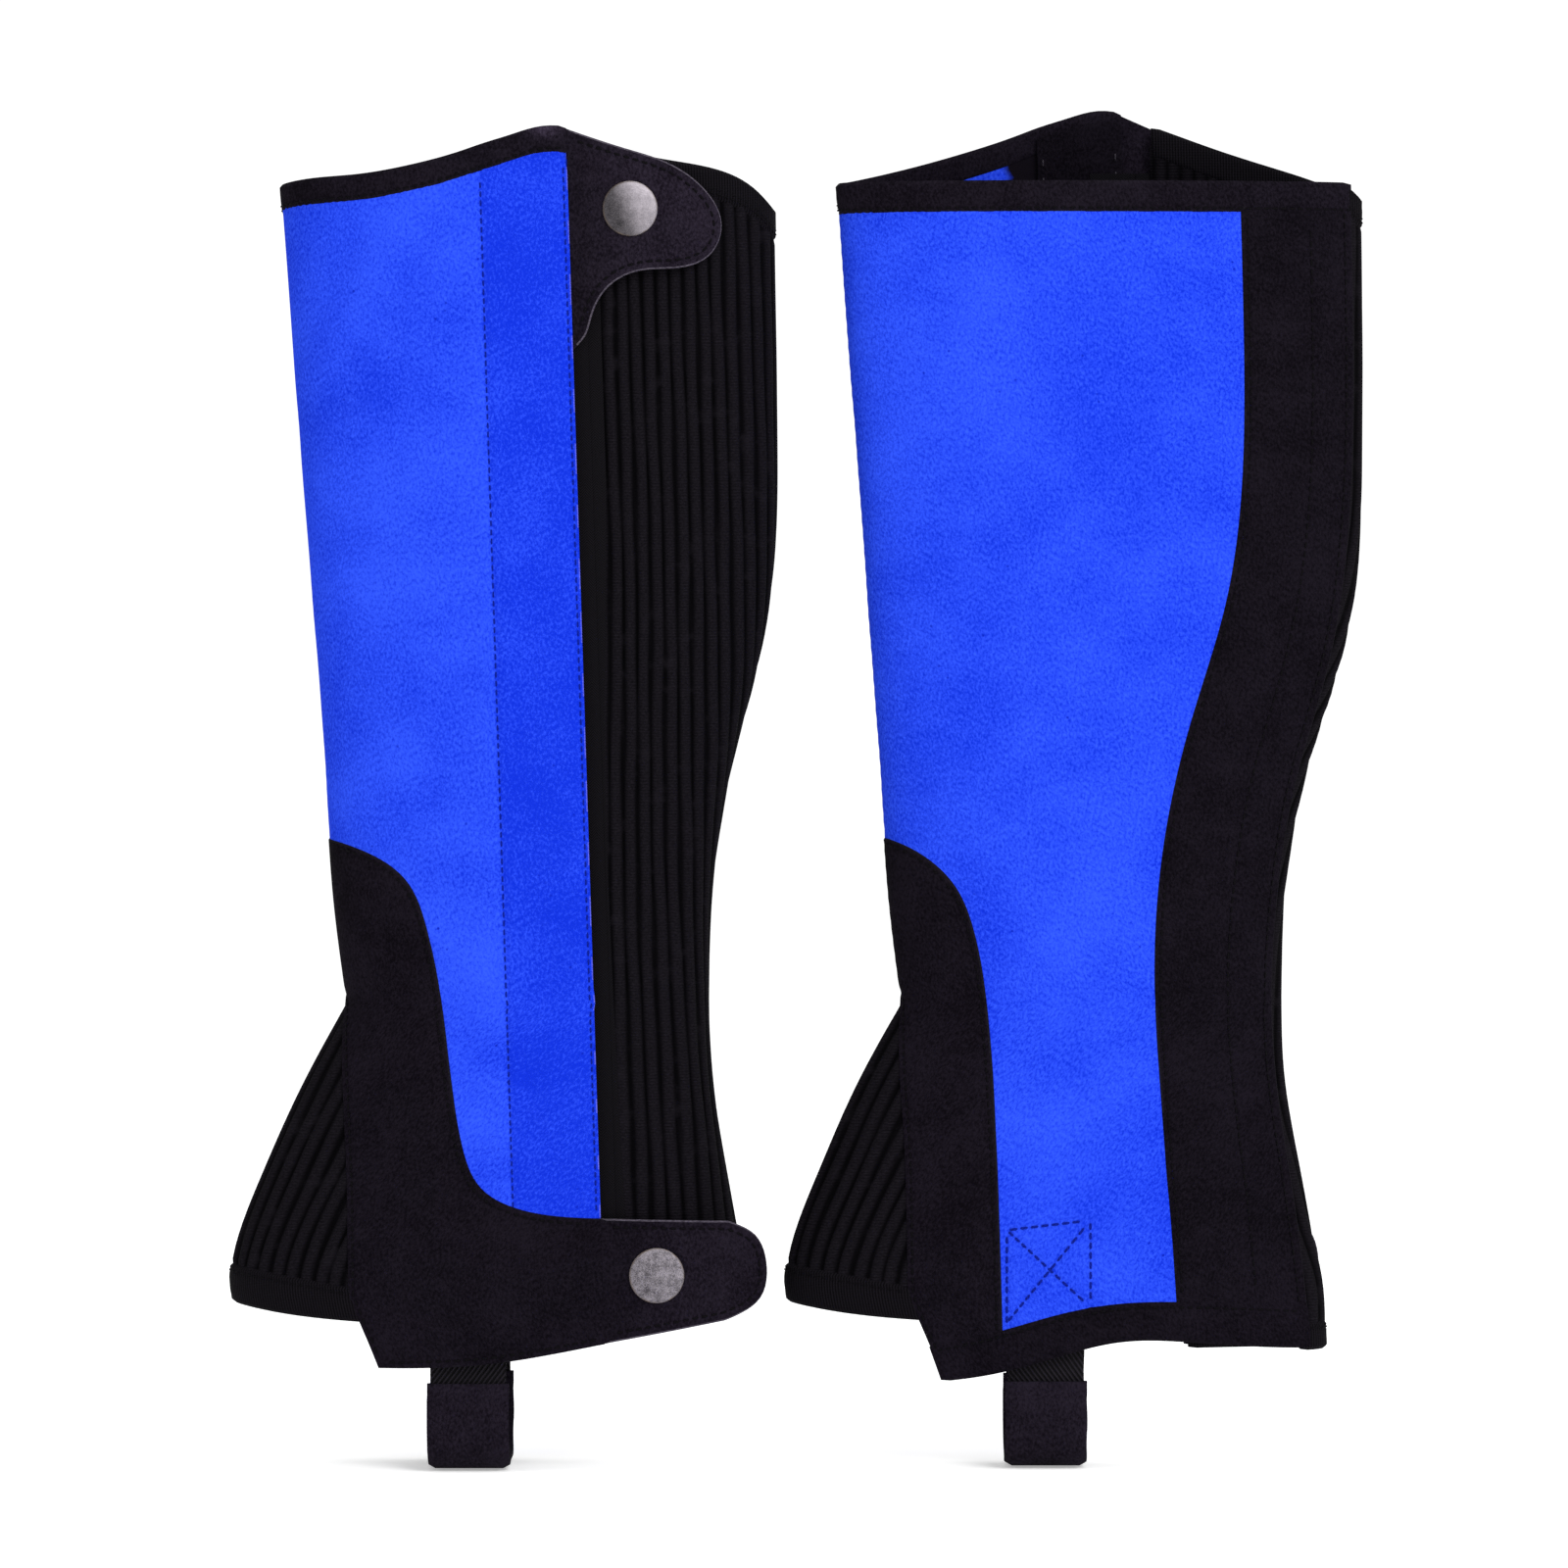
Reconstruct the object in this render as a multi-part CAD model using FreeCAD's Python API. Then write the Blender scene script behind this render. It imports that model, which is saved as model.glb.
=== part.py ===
import FreeCAD, Part
import math
import os

# A pair of rider's half chaps (gaiters). All lengths are in millimetres, +Z is up the leg, -X is toward
# the toes, and each gaiter is built with its outer side toward -Y. The right one is the mirror image.
V = FreeCAD.Vector

# ---- pair layout ----
LEFT_X = -106.0
RIGHT_X = 77.0
GAP = 0.12  # clearance between neighbouring pieces

# ---- leg tube: height, front edge, rear edge ----
UPPER_LEVELS = [
    (153.6, -41.8, 77.8),
    (186.0, -45.8, 78.7),
    (211.0, -47.6, 81.6),
    (237.0, -49.4, 86.9),
    (262.0, -51.2, 93.6),
    (290.0, -53.3, 98.6),
    (340.0, -57.2, 100.2),
    (403.0, -61.9, 99.5),
    (450.0, -65.4, 98.6),
]
LOWER_LEVELS = [
    (153.6, -41.8, 77.8),
    (140.0, -49.4, 78.2),
    (122.0, -58.6, 79.7),
    (96.0, -70.0, 83.8),
    (74.0, -78.4, 87.8),
    (62.0, -80.4, 90.0),
    (42.0, -76.0, 91.0),
    (18.0, -70.0, 91.5),
]
INSIDE_BEND = 8.0  # middle of the inner side at the bottom of the tube
INSIDE_LEAN = 0.03  # forward lean of that middle line per mm of height
SKIN = 1.3  # suede
PATCH_PROUD = 0.35  # how far a patch or a binding stands above its neighbours
BINDING_BACK = 1.7
BAND = 8.0  # height of the top binding on the outer side
INNER_BAND = 9.6  # and on the inner side

# ---- zip line and the flap it closes ----
FREE_TOP_X = 32.2  # flap's free edge at the reference height
FREE_TOP_Z = 412.0
LEAN = 0.0316  # how far the zip line moves forward per mm of height
FLAP_WIDTH = 28.5
FLAT_BEHIND = 9.5  # flat strip behind the free edge that carries the zip
FACING_DEPTH = 3.5
TAPE = (3.6, 4.1)
ROW = (4.2, 5.6)
ZIP_MIDDLE = 3.6  # middle of the zip behind the free edge
ROW_GAP = 0.55  # half of the space that the slider's divider runs in
ROW_WIDTH = 1.85
ROW_PITCH = 3.0
ZIP_FOOT = 52.0
ZIP_HEAD = 424.0
SLIDER_REST = 404.0
SLIDER_LENGTH = 10.0
SLIDER_HALF_WIDTH = 3.3
PULL_LENGTH = 9.0
PIN_DEPTH = 2.05
PIN_R = 0.35
EAR_R = 0.55
STRETCH_SINK = 4.2  # ribbed panel lies this far below the flap's outer face
STRETCH = 1.2

# ---- tabs and snaps ----
TAB_OUT = -0.3
TAB_BACK = 0.8
TOP_SNAP = (52.2, 412.5)
FOOT_SNAP = (60.8, 64.6)
CAP_R = 9.0
CAP_RISE = 1.7
FOOT_CAP_RISE = 1.2
SOCKET_R = 6.0
BORE_R = 2.7
STUD_R = 2.2
SHANK_R = 1.4
STUD_FLANGE_R = 5.5

# ---- foot strap ----
STRAP_HALF = 12.4
WEBBING = 1.6
STRAP_PIVOT_Z = 35.0
STRAP_ROUND = 12.9  # radius of the hidden rounded end above the pivot
SLEEVE_TOP = 28.8
SLEEVE = 1.4
SLEEVE_HALF = 13.4
STRAP_BEND = 11.0
ANCHOR_TOP = 82.0


def free_x(z):
    """Flap's free edge, a straight line that leans forward."""
    return FREE_TOP_X + LEAN * (FREE_TOP_Z - z)


def placket_x(z):
    return free_x(z) - FLAP_WIDTH


class Gaiter:
    """Numbers that differ between the two gaiters. One is pressed flatter and so reaches further back. Their
    two sides have also slipped against each other, which raises one's crown and lifts the other's heel hem."""

    def __init__(self, side, half_depth, rear_reach, strap_x, crown, heel_lift):
        self.side = side
        self.half_depth = half_depth
        self.rear_reach = rear_reach
        self.strap_x = strap_x
        self.crown = crown
        self.heel_lift = heel_lift

    def back(self, x, z):
        """Moves a point that lies behind the zip line back by this gaiter's reach."""
        line = free_x(z)
        return x if x <= line else line + (x - line) * self.rear_reach

    def points(self, pairs):
        return [(self.back(x, z), z) for x, z in pairs]

    def crowned(self, pairs):
        """Line along the top of the outer side, raised toward the peak just in front of the zip."""
        out = []
        for x, z in pairs:
            ramp = max(min((x + 60.0) / 84.0, (99.0 - x) / 75.0), 0.0)
            share = min(max((z - 400.0) / 20.0, 0.0), 1.0)
            out.append((x, z + self.crown * ramp * share))
        return out

    def lifted(self, pairs):
        """Hem line, raised toward the heel."""
        out = []
        for x, z in pairs:
            t = min(max((x - 15.0) / 65.0, 0.0), 1.0)
            out.append((x, z + self.heel_lift * t * t * (3.0 - 2.0 * t)))
        return out


LEFT = Gaiter("left", 30.0, 1.0, -1.0, 0.0, 12.0)
RIGHT = Gaiter("right", 21.0, 1.15, 5.5, 8.0, 0.0)


# ---- building helpers ----
def quarter(center, start, end):
    """Quarter of an ellipse about center, from start to end."""
    curve = Part.BezierCurve()
    curve.setPoles([start, start + end - center, end])
    curve.setWeight(2, math.sqrt(0.5))
    return curve.toShape()


def section(g, level, depth, outer_half):
    """Closed cross-section of the leg tube, depth inside its outer surface."""
    z, front, rear = level
    rear = g.back(rear, z)
    x1 = placket_x(z)
    x2 = free_x(z) + FLAT_BEHIND
    xm = INSIDE_BEND - INSIDE_LEAN * z * 0.5
    out = outer_half - depth
    inn = g.half_depth - depth
    nose = V(front + depth, 0, z)
    heel = V(rear - depth, 0, z)
    edges = [
        quarter(V(x1, 0, z), nose, V(x1, -out, z)),
        Part.makeLine(V(x1, -out, z), V(x2, -out, z)),
        quarter(V(x2, 0, z), V(x2, -out, z), heel),
        quarter(V(xm, 0, z), heel, V(xm, inn, z)),
        quarter(V(xm, 0, z), V(xm, inn, z), nose),
    ]
    return Part.Wire(edges)


def tube(g, depth, outer_half):
    upper = Part.makeLoft([section(g, level, depth, outer_half) for level in UPPER_LEVELS], True, False)
    lower = Part.makeLoft([section(g, level, depth, outer_half) for level in LOWER_LEVELS[::-1]], True, False)
    return upper.fuse(lower)


def wall(g, outside, inside, sink=0.0):
    """Leg tube wall between two depths; sink lowers its outer side only."""
    half = g.half_depth - sink
    return tube(g, outside, half).cut(tube(g, inside, half))


def face(*runs):
    """Face in the XZ plane. A run of two points is a line and a longer run is a smooth curve. Lines fill
    the space between the end of one run and the start of the next, and between the last and the first."""
    edges = []
    ends = []
    for run in runs:
        points = [V(x, 0, z) for x, z in run]
        if ends and (points[0] - ends[-1]).Length > 1e-6:
            edges.append(Part.makeLine(ends[-1], points[0]))
        if len(points) == 2:
            edges.append(Part.makeLine(points[0], points[1]))
        else:
            curve = Part.BSplineCurve()
            curve.interpolate(points)
            edges.append(curve.toShape())
        ends += [points[0], points[-1]]
    if (ends[-1] - ends[0]).Length > 1e-6:
        edges.append(Part.makeLine(ends[-1], ends[0]))
    return Part.Face(Part.Wire(edges))


def prism(flat, y0, y1):
    copy = flat.copy()
    copy.translate(V(0, y0, 0))
    return copy.extrude(V(0, y1 - y0, 0))


def outer_side(flat):
    return prism(flat, -70, 0)


def inner_side(flat):
    return prism(flat, 0, 70)


def slab(x0, x1, y0, y1, z0, z1):
    return Part.makeBox(x1 - x0, y1 - y0, z1 - z0, V(x0, y0, z0))


def one(shape):
    """Clean result of a cut, as one solid."""
    shape = shape.removeSplitter()
    solids = sorted(shape.Solids, key=lambda s: -s.Volume)
    return solids[0]


def shifted(points, dx, dz):
    return [(x + dx, z + dz) for x, z in points]


def apart(shape, *others):
    for other in others:
        shape = shape.cut(other)
    return one(shape)


# ---- seam lines shared by neighbouring pieces, as (x, z) ----
TOP_OUTER = [(-70.0, 420.0), (-54.0, 422.4), (-38.0, 423.4), (-19.0, 426.4), (-3.0, 430.6), (6.0, 433.5)]
FLAP_TOP = [(0.0, 431.5), (13.0, 435.8), (24.0, 439.0), (36.0, 438.0)]
FLAP_SPLIT = [(4.0, 90.2), (13.6, 87.0), (26.0, 84.2), (48.0, 83.2)]
FLAP_FOOT = [(4.0, 35.2), (50.0, 43.4)]
INNER_TOP = 421.6
PATCH_OUTER = [
    (20.0, 84.8), (4.0, 92.6), (-3.5, 111.5), (-8.5, 147.0), (-14.0, 178.0), (-21.0, 193.5),
    (-35.5, 203.0), (-90.0, 208.0),
]
PATCH_INNER = [
    (-8.4, 20.0), (-10.6, 98.0), (-14.0, 151.0), (-18.8, 178.0), (-24.0, 190.5), (-36.0, 202.0),
    (-90.0, 208.0),
]
FRONT_SEAM = [(-41.8, 156.0), (-42.6, 146.0), (-41.0, 105.6), (-40.4, 80.0), (-40.0, 57.6)]
FRONT_CORNER = [(-40.0, 57.6), (-36.0, 48.0), (-30.6, 35.0), (-26.0, 20.0)]
CALF_LINE = [
    (63.2, 440.0), (65.0, 380.0), (65.0, 325.0), (60.0, 282.0), (51.3, 247.7),
    (44.0, 212.0), (40.6, 165.0), (42.0, 132.0), (45.6, 83.5), (49.3, 20.0),
]
REAR_SEAM = [
    (94.4, 440.0), (95.6, 370.0), (94.8, 310.0), (88.6, 262.0), (80.2, 226.0),
    (75.2, 190.0), (73.4, 154.0), (75.4, 122.0), (79.6, 92.0), (86.6, 20.0),
]
HEM_OUTER = [(-60.0, 34.8), (-14.0, 34.2), (12.5, 36.0), (30.0, 38.4)]
STRETCH_HEM = [(30.0, 37.6), (62.0, 38.6), (130.0, 42.0)]
HEM_INNER = [(-60.0, 28.0), (-9.6, 32.6), (10.0, 38.0), (29.0, 42.4), (60.0, 41.6), (130.0, 38.6)]
HEM_TOP = [
    (-42.0, 38.4), (-27.2, 41.3), (-9.0, 45.6), (10.0, 51.0), (30.0, 54.4), (49.0, 54.8), (130.0, 49.0),
]
GUSSET_TOP_OF_BAND = [(-95.0, 68.4), (-62.0, 63.2), (-30.0, 58.0)]
GUSSET_HEM = [(-95.0, 57.4), (-62.0, 51.6), (-30.0, 49.2)]
RIM_SLOPE = [(34.0, 440.0), (99.0, 415.6), (130.0, 404.0)]
RIM_INNER = [(50.0, 423.0), (80.0, 422.6), (94.0, 421.0), (112.0, 411.0)]
RIM = 9.0
TOP_TAB = [
    (51.2, 432.0), (64.0, 427.8), (75.5, 420.0), (81.9, 407.5), (77.6, 397.2), (67.0, 393.2),
    (55.0, 392.2), (45.8, 387.6), (39.9, 378.0), (37.6, 371.0),
]
TOP_TAB_ROOT = (437.2, 366.6)
FOOT_TAB_EDGE = [(84.0, 82.2), (92.8, 77.4), (96.6, 67.2), (94.8, 57.0), (83.2, 49.6)]
FOOT_TAB_TOP = 82.6


# ---- regions in the XZ plane ----
def under(curve, floor=0.0):
    """Everything between a curve that runs left to right and the floor."""
    a, b = curve[0], curve[-1]
    return face(curve, [b, (b[0], floor)], [(b[0], floor), (a[0], floor)])


def ahead(curve, front=-120.0):
    """Everything in front of a curve that runs top to bottom."""
    a, b = curve[0], curve[-1]
    return face(curve, [b, (front, b[1])], [(front, b[1]), (front, a[1])])


def behind(curve):
    return ahead(curve, 160.0)


def flap_strip(front_gap, rear_gap):
    """The flap's strip, from its hinge line at the placket to its free edge."""
    return face(
        [(placket_x(470) + front_gap, 470), (free_x(470) - rear_gap, 470)],
        [(free_x(470) - rear_gap, 470), (free_x(10) - rear_gap, 10)],
        [(free_x(10) - rear_gap, 10), (placket_x(10) + front_gap, 10)],
    )


def line_ahead(line, shift):
    return face([(-120, 470), (line(470) + shift, 470)], [(line(470) + shift, 470), (line(10) + shift, 10)],
                [(line(10) + shift, 10), (-120, 10)])


def line_behind(line, shift):
    return face([(160, 470), (line(470) + shift, 470)], [(line(470) + shift, 470), (line(10) + shift, 10)],
                [(line(10) + shift, 10), (160, 10)])


# ---- shell pieces ----
def main_panel(g):
    outer = outer_side(under(shifted(g.crowned(TOP_OUTER), 0, -BAND - GAP)))
    outer = outer.common(outer_side(line_ahead(placket_x, -GAP)))
    outer = outer.cut(outer_side(under(shifted(PATCH_OUTER[::-1], GAP, GAP))))
    inner = inner_side(ahead(shifted(g.points(CALF_LINE), -GAP, 0)))
    inner = inner.cut(slab(-130, 170, -1, 71, INNER_TOP - INNER_BAND - GAP, 500))
    inner = inner.cut(inner_side(under(shifted(PATCH_INNER[::-1], GAP, GAP))))
    inner = inner.cut(inner_side(under(shifted(g.lifted(HEM_TOP), 0, GAP))))
    return one(wall(g, 0.0, SKIN).common(outer.fuse(inner)))


def top_binding(g):
    top = g.crowned(TOP_OUTER)
    outer = outer_side(under(top)).cut(outer_side(under(shifted(top, 0, -BAND))))
    outer = outer.common(outer_side(line_ahead(placket_x, -GAP)))
    inner = inner_side(ahead(shifted(g.points(REAR_SEAM), -GAP, 0)))
    inner = inner.common(slab(-130, 170, 0, 70, INNER_TOP - INNER_BAND, INNER_TOP))
    return one(wall(g, -PATCH_PROUD, BINDING_BACK).common(outer.fuse(inner)))


def calf_panel(g):
    inner = inner_side(behind(shifted(g.points(CALF_LINE), GAP, 0)))
    inner = inner.common(inner_side(ahead(shifted(g.points(REAR_SEAM), -GAP, 0))))
    inner = inner.cut(slab(-130, 170, -1, 71, INNER_TOP - INNER_BAND - GAP, 500))
    inner = inner.cut(inner_side(under(shifted(g.lifted(HEM_TOP), 0, GAP))))
    return one(wall(g, 0.0, SKIN).common(inner))


def stretch_panel(g):
    slope = g.points(g.crowned(RIM_SLOPE))
    outer = outer_side(under(shifted(slope, 0, -RIM - GAP)))
    outer = outer.cut(outer_side(under(g.lifted(STRETCH_HEM))))
    outer = outer.common(outer_side(line_behind(free_x, FLAT_BEHIND - 1.75)))
    inner = inner_side(behind(shifted(g.points(REAR_SEAM), GAP, 0)))
    inner = inner.common(inner_side(under(shifted(g.points(RIM_INNER), 0, -RIM - GAP))))
    inner = inner.cut(inner_side(under(g.lifted(HEM_INNER))))
    panel = wall(g, 0.0, STRETCH, STRETCH_SINK).common(outer.fuse(inner))
    return apart(panel, *[snap_stud(g, snap, 0.1) for snap in snaps(g)])


def rim_elastic(g):
    slope = g.points(g.crowned(RIM_SLOPE))
    outer = outer_side(under(slope)).cut(outer_side(under(shifted(slope, 0, -RIM))))
    outer = outer.common(outer_side(line_behind(free_x, FLAT_BEHIND + 0.3)))
    inner = inner_side(behind(shifted(g.points(REAR_SEAM), GAP, 0)))
    low = inner_side(under(shifted(g.points(RIM_INNER), 0, -RIM)))
    inner = inner.common(inner_side(under(g.points(RIM_INNER)))).cut(low)
    return one(wall(g, -0.4, 1.6, STRETCH_SINK).common(outer.fuse(inner)))


def ankle_patch(g):
    outer = outer_side(under(PATCH_OUTER[::-1])).cut(outer_side(under(HEM_OUTER)))
    outer = outer.common(outer_side(line_ahead(placket_x, -GAP)))
    inner = inner_side(under(PATCH_INNER[::-1])).cut(inner_side(under(shifted(g.lifted(HEM_TOP), 0, GAP))))
    both = outer.fuse(inner).cut(prism(ahead(FRONT_SEAM), -70, 70)).cut(prism(ahead(FRONT_CORNER), -70, 70))
    return one(wall(g, -PATCH_PROUD, SKIN).common(both))


def hem_binding(g):
    band = inner_side(under(g.lifted(HEM_TOP))).cut(inner_side(under(g.lifted(HEM_INNER))))
    band = band.cut(inner_side(ahead(FRONT_CORNER)))
    band = band.common(inner_side(ahead(shifted(g.points(REAR_SEAM), -GAP, 0))))
    return one(wall(g, -PATCH_PROUD, BINDING_BACK).common(band))


def instep_gusset(g):
    web = prism(ahead(shifted(FRONT_SEAM, -GAP, 0)), -70, 70)
    web = web.cut(prism(under(shifted(GUSSET_TOP_OF_BAND, 0, GAP)), -70, 70))
    web = web.cut(slab(-130, 100, -71, 71, 152.5, 300))
    return one(wall(g, 0.0, STRETCH).common(web))


def gusset_binding(g):
    band = prism(under(GUSSET_TOP_OF_BAND), -70, 70).cut(prism(under(GUSSET_HEM), -70, 70))
    band = band.common(prism(ahead(shifted(FRONT_SEAM[:-1] + FRONT_CORNER, -GAP, 0)), -70, 70))
    return one(wall(g, -0.3, BINDING_BACK).common(band))


# ---- zip, built along its own line and then leaned with it ----
def on_zip(g, shape):
    """Places a shape built with X behind the free edge, Y as depth and Z along the zip."""
    shape = shape.copy()
    shape.translate(V(0, -g.half_depth, 0))
    shape.rotate(V(0, 0, 0), V(0, 1, 0), -math.degrees(math.atan(LEAN)))
    shape.translate(V(free_x(0), 0, 0))
    return shape


def toothed_row(edge, away):
    """Coil row as a strip whose teeth point away from the tape; edge is the tooth tips' position."""
    root = edge + away * ROW_WIDTH * 0.45
    back = edge + away * ROW_WIDTH
    points = [V(back, 0, ZIP_FOOT), V(root, 0, ZIP_FOOT)]
    count = int((ZIP_HEAD - ZIP_FOOT) / ROW_PITCH)
    for n in range(count):
        z = ZIP_FOOT + (n + 0.25) * ROW_PITCH
        points += [V(root, 0, z), V(edge, 0, z + 0.2), V(edge, 0, z + 1.3), V(root, 0, z + 1.5)]
    points += [V(root, 0, ZIP_HEAD), V(back, 0, ZIP_HEAD)]
    points = [p for n, p in enumerate(points) if n == 0 or (p - points[n - 1]).Length > 1e-6]
    strip = Part.Face(Part.makePolygon(points + [points[0]]))
    strip.translate(V(0, ROW[0], 0))
    return strip.extrude(V(0, ROW[1] - ROW[0], 0))


def zip_row_front(g):
    return on_zip(g, toothed_row(ZIP_MIDDLE - ROW_GAP, -1))


def zip_row_rear(g):
    return on_zip(g, toothed_row(ZIP_MIDDLE + ROW_GAP, 1))


def zip_tape_front(g):
    return on_zip(g, slab(-11, ZIP_MIDDLE - ROW_GAP, TAPE[0], TAPE[1], ZIP_FOOT - 4, ZIP_HEAD + 3))


def zip_tape_rear(g):
    return on_zip(g, slab(ZIP_MIDDLE + ROW_GAP, FLAT_BEHIND - 0.2, TAPE[0], TAPE[1], ZIP_FOOT, ZIP_HEAD + 3))


def zip_box(g):
    box = slab(ZIP_MIDDLE + ROW_GAP, FLAT_BEHIND - 2.0, 3.0, 6.0, ZIP_FOOT - 8.0, ZIP_FOOT - 0.3)
    return on_zip(g, one(box.makeFillet(0.6, [e for e in box.Edges if abs(e.tangentAt(0).z) > 0.99])))


def zip_slider(g):
    z0 = SLIDER_REST - SLIDER_LENGTH / 2
    z1 = SLIDER_REST + SLIDER_LENGTH / 2
    pin_z = SLIDER_REST + 3.4
    top = slab(ZIP_MIDDLE - SLIDER_HALF_WIDTH, ZIP_MIDDLE + SLIDER_HALF_WIDTH, 2.75, 3.45, z0, z1)
    top = top.makeFillet(1.6, [e for e in top.Edges if abs(e.tangentAt(e.FirstParameter).y) > 0.99])
    divider = slab(ZIP_MIDDLE - 0.35, ZIP_MIDDLE + 0.35, 3.4, 5.9, SLIDER_REST, z1 - 0.6)
    back = slab(ZIP_MIDDLE - SLIDER_HALF_WIDTH, ZIP_MIDDLE + 0.35, 5.8, 6.4, z0, z1)
    lug = slab(ZIP_MIDDLE - 0.6, ZIP_MIDDLE + 0.6, PIN_DEPTH, 2.8, pin_z - 0.9, pin_z + 0.9)
    eye = Part.makeCylinder(0.9, 1.2, V(ZIP_MIDDLE - 0.6, PIN_DEPTH, pin_z), V(1, 0, 0))
    hole = Part.makeCylinder(PIN_R + 0.1, 3, V(ZIP_MIDDLE - 1.5, PIN_DEPTH, pin_z), V(1, 0, 0))
    return on_zip(g, one(top.fuse([divider, back, lug, eye]).cut(hole)))


def zip_pull(g):
    pin_z = SLIDER_REST + 3.4
    left = ZIP_MIDDLE - 2.0
    right = ZIP_MIDDLE + 2.0
    plate = slab(left, right, PIN_DEPTH - 0.4, PIN_DEPTH + 0.4, pin_z - PULL_LENGTH, pin_z)
    through = [e for e in plate.Edges if abs(e.tangentAt(e.FirstParameter).y) > 0.99]
    plate = plate.makeFillet(1.2, [e for e in through if e.CenterOfMass.z < pin_z - 2])
    ears = Part.makeCylinder(EAR_R, 4.0, V(ZIP_MIDDLE - 2.0, PIN_DEPTH, pin_z), V(1, 0, 0))
    slot = slab(ZIP_MIDDLE - 0.8, ZIP_MIDDLE + 0.8, 0, 5, pin_z - 1.4, pin_z + 2)
    pin = Part.makeCylinder(PIN_R, 3.6, V(ZIP_MIDDLE - 1.8, PIN_DEPTH, pin_z), V(1, 0, 0))
    window = slab(ZIP_MIDDLE - 0.9, ZIP_MIDDLE + 0.9, 0, 5, pin_z - 7.2, pin_z - 3.4)
    return on_zip(g, one(plate.fuse(ears).cut(slot).cut(window).fuse(pin)))


# ---- flap pieces ----
def plate(g, region, near, far):
    return one(prism(region, -g.half_depth + near, -g.half_depth + far))


def flap_part(front_gap, rear_gap, high, low):
    return flap_strip(front_gap, rear_gap).common(under(high)).cut(under(low)).Faces[0]


def zip_flap(g):
    high = shifted(g.crowned(FLAP_TOP), 0, -BAND - GAP)
    low = shifted(FLAP_SPLIT, 0, GAP)
    return plate(g, flap_part(GAP, 0.0, high, low), 0, SKIN)


def flap_binding(g):
    top = g.crowned(FLAP_TOP)
    return plate(g, flap_part(GAP, 0.0, top, shifted(top, 0, -BAND)), -PATCH_PROUD, SKIN)


def flap_foot(g):
    return plate(g, flap_part(GAP, 0.0, FLAP_SPLIT, FLAP_FOOT), -PATCH_PROUD, SKIN)


def flap_facing(g):
    region = flap_part(0.3, 0.4, shifted(g.crowned(FLAP_TOP), 0, -3), shifted(FLAP_FOOT, 0, 2.5))
    return plate(g, region, SKIN + 0.1, FACING_DEPTH)


# ---- tabs and snaps ----
class Snap:
    """A snap's place and the curve of the tab that carries it."""

    def __init__(self, g, spot, bend, panel_bend, rise):
        x, z = spot
        self.spot = spot
        self.bend = bend
        self.start = free_x(z) + FLAT_BEHIND
        along = x - self.start
        half = g.half_depth
        fall = math.sqrt(1 - (along / bend) ** 2)
        self.y = -half * fall
        self.tilt = math.degrees(math.atan(half * along / (bend * bend * fall)))
        sunk = (half - STRETCH_SINK) * math.sqrt(1 - (along / panel_bend) ** 2)
        self.panel = -(half * fall - sunk) * math.cos(math.radians(self.tilt))
        self.rise = rise


def snaps(g):
    top_room = g.back(99.5, 412.5) - free_x(412.5) - FLAT_BEHIND
    foot_room = g.back(89.6, 64.6) - free_x(64.6) - FLAT_BEHIND
    top = Snap(g, TOP_SNAP, top_room + 2.0, top_room, CAP_RISE)
    foot = Snap(g, FOOT_SNAP, foot_room + 20.0, foot_room, FOOT_CAP_RISE)
    return [top, foot]


def turned(g, snap, points):
    """Solid of revolution on the snap's axis, from (radius, height above the tab's middle surface) points."""
    outline = Part.makePolygon([V(r, -h, 0) for r, h in points] + [V(points[0][0], -points[0][1], 0)])
    solid = Part.Face(outline).revolve(V(0, 0, 0), V(0, 1, 0), 360)
    solid = Part.Solid(solid) if solid.ShapeType != "Solid" else solid
    solid.rotate(V(0, 0, 0), V(0, 0, 1), snap.tilt)
    solid.translate(V(snap.spot[0], snap.y, snap.spot[1]))
    return solid


def snap_cap(g, snap):
    dome = []
    for n in range(8):
        a = n * math.pi / 16
        dome.append((CAP_R * math.cos(a), 0.95 + (snap.rise - 0.6) * math.sin(a)))
    points = [(0, -1.6), (SHANK_R, -1.6), (SHANK_R, 0.35), (CAP_R - 0.4, 0.35), (CAP_R, 0.6)]
    return turned(g, snap, points + dome + [(0, 0.35 + snap.rise)])


def snap_socket(g, snap):
    hole = SHANK_R + 0.1
    points = [
        (hole, -1.0), (SOCKET_R - 0.5, -1.0), (SOCKET_R, -1.4), (SOCKET_R, -2.6), (SOCKET_R - 0.6, -3.1),
        (BORE_R, -3.1), (BORE_R, -1.9), (hole, -1.9),
    ]
    return turned(g, snap, points)


def snap_stud(g, snap, clear=0.0):
    """Post with a flange on each face of the ribbed panel; clear grows it into a hole."""
    outer_face = snap.panel + 0.05
    inner_face = snap.panel - STRETCH - 0.05
    c = clear
    points = [
        (0, -2.1), (STUD_R - 0.5 + c, -2.1), (STUD_R + c, -2.6), (STUD_R - 0.4 + c, -3.3),
        (STUD_R - 0.4 + c, outer_face + 0.55 + c), (STUD_FLANGE_R + c, outer_face + 0.55 + c),
        (STUD_FLANGE_R + c, outer_face - c), (SHANK_R + c, outer_face - c),
        (SHANK_R + c, inner_face + c), (STUD_FLANGE_R + c, inner_face + c),
        (STUD_FLANGE_R + c, inner_face - 0.65 - c), (0, inner_face - 0.65 - c),
    ]
    return turned(g, snap, points)


def snap_studs(g):
    return Part.makeCompound([snap_stud(g, snap) for snap in snaps(g)])


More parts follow.
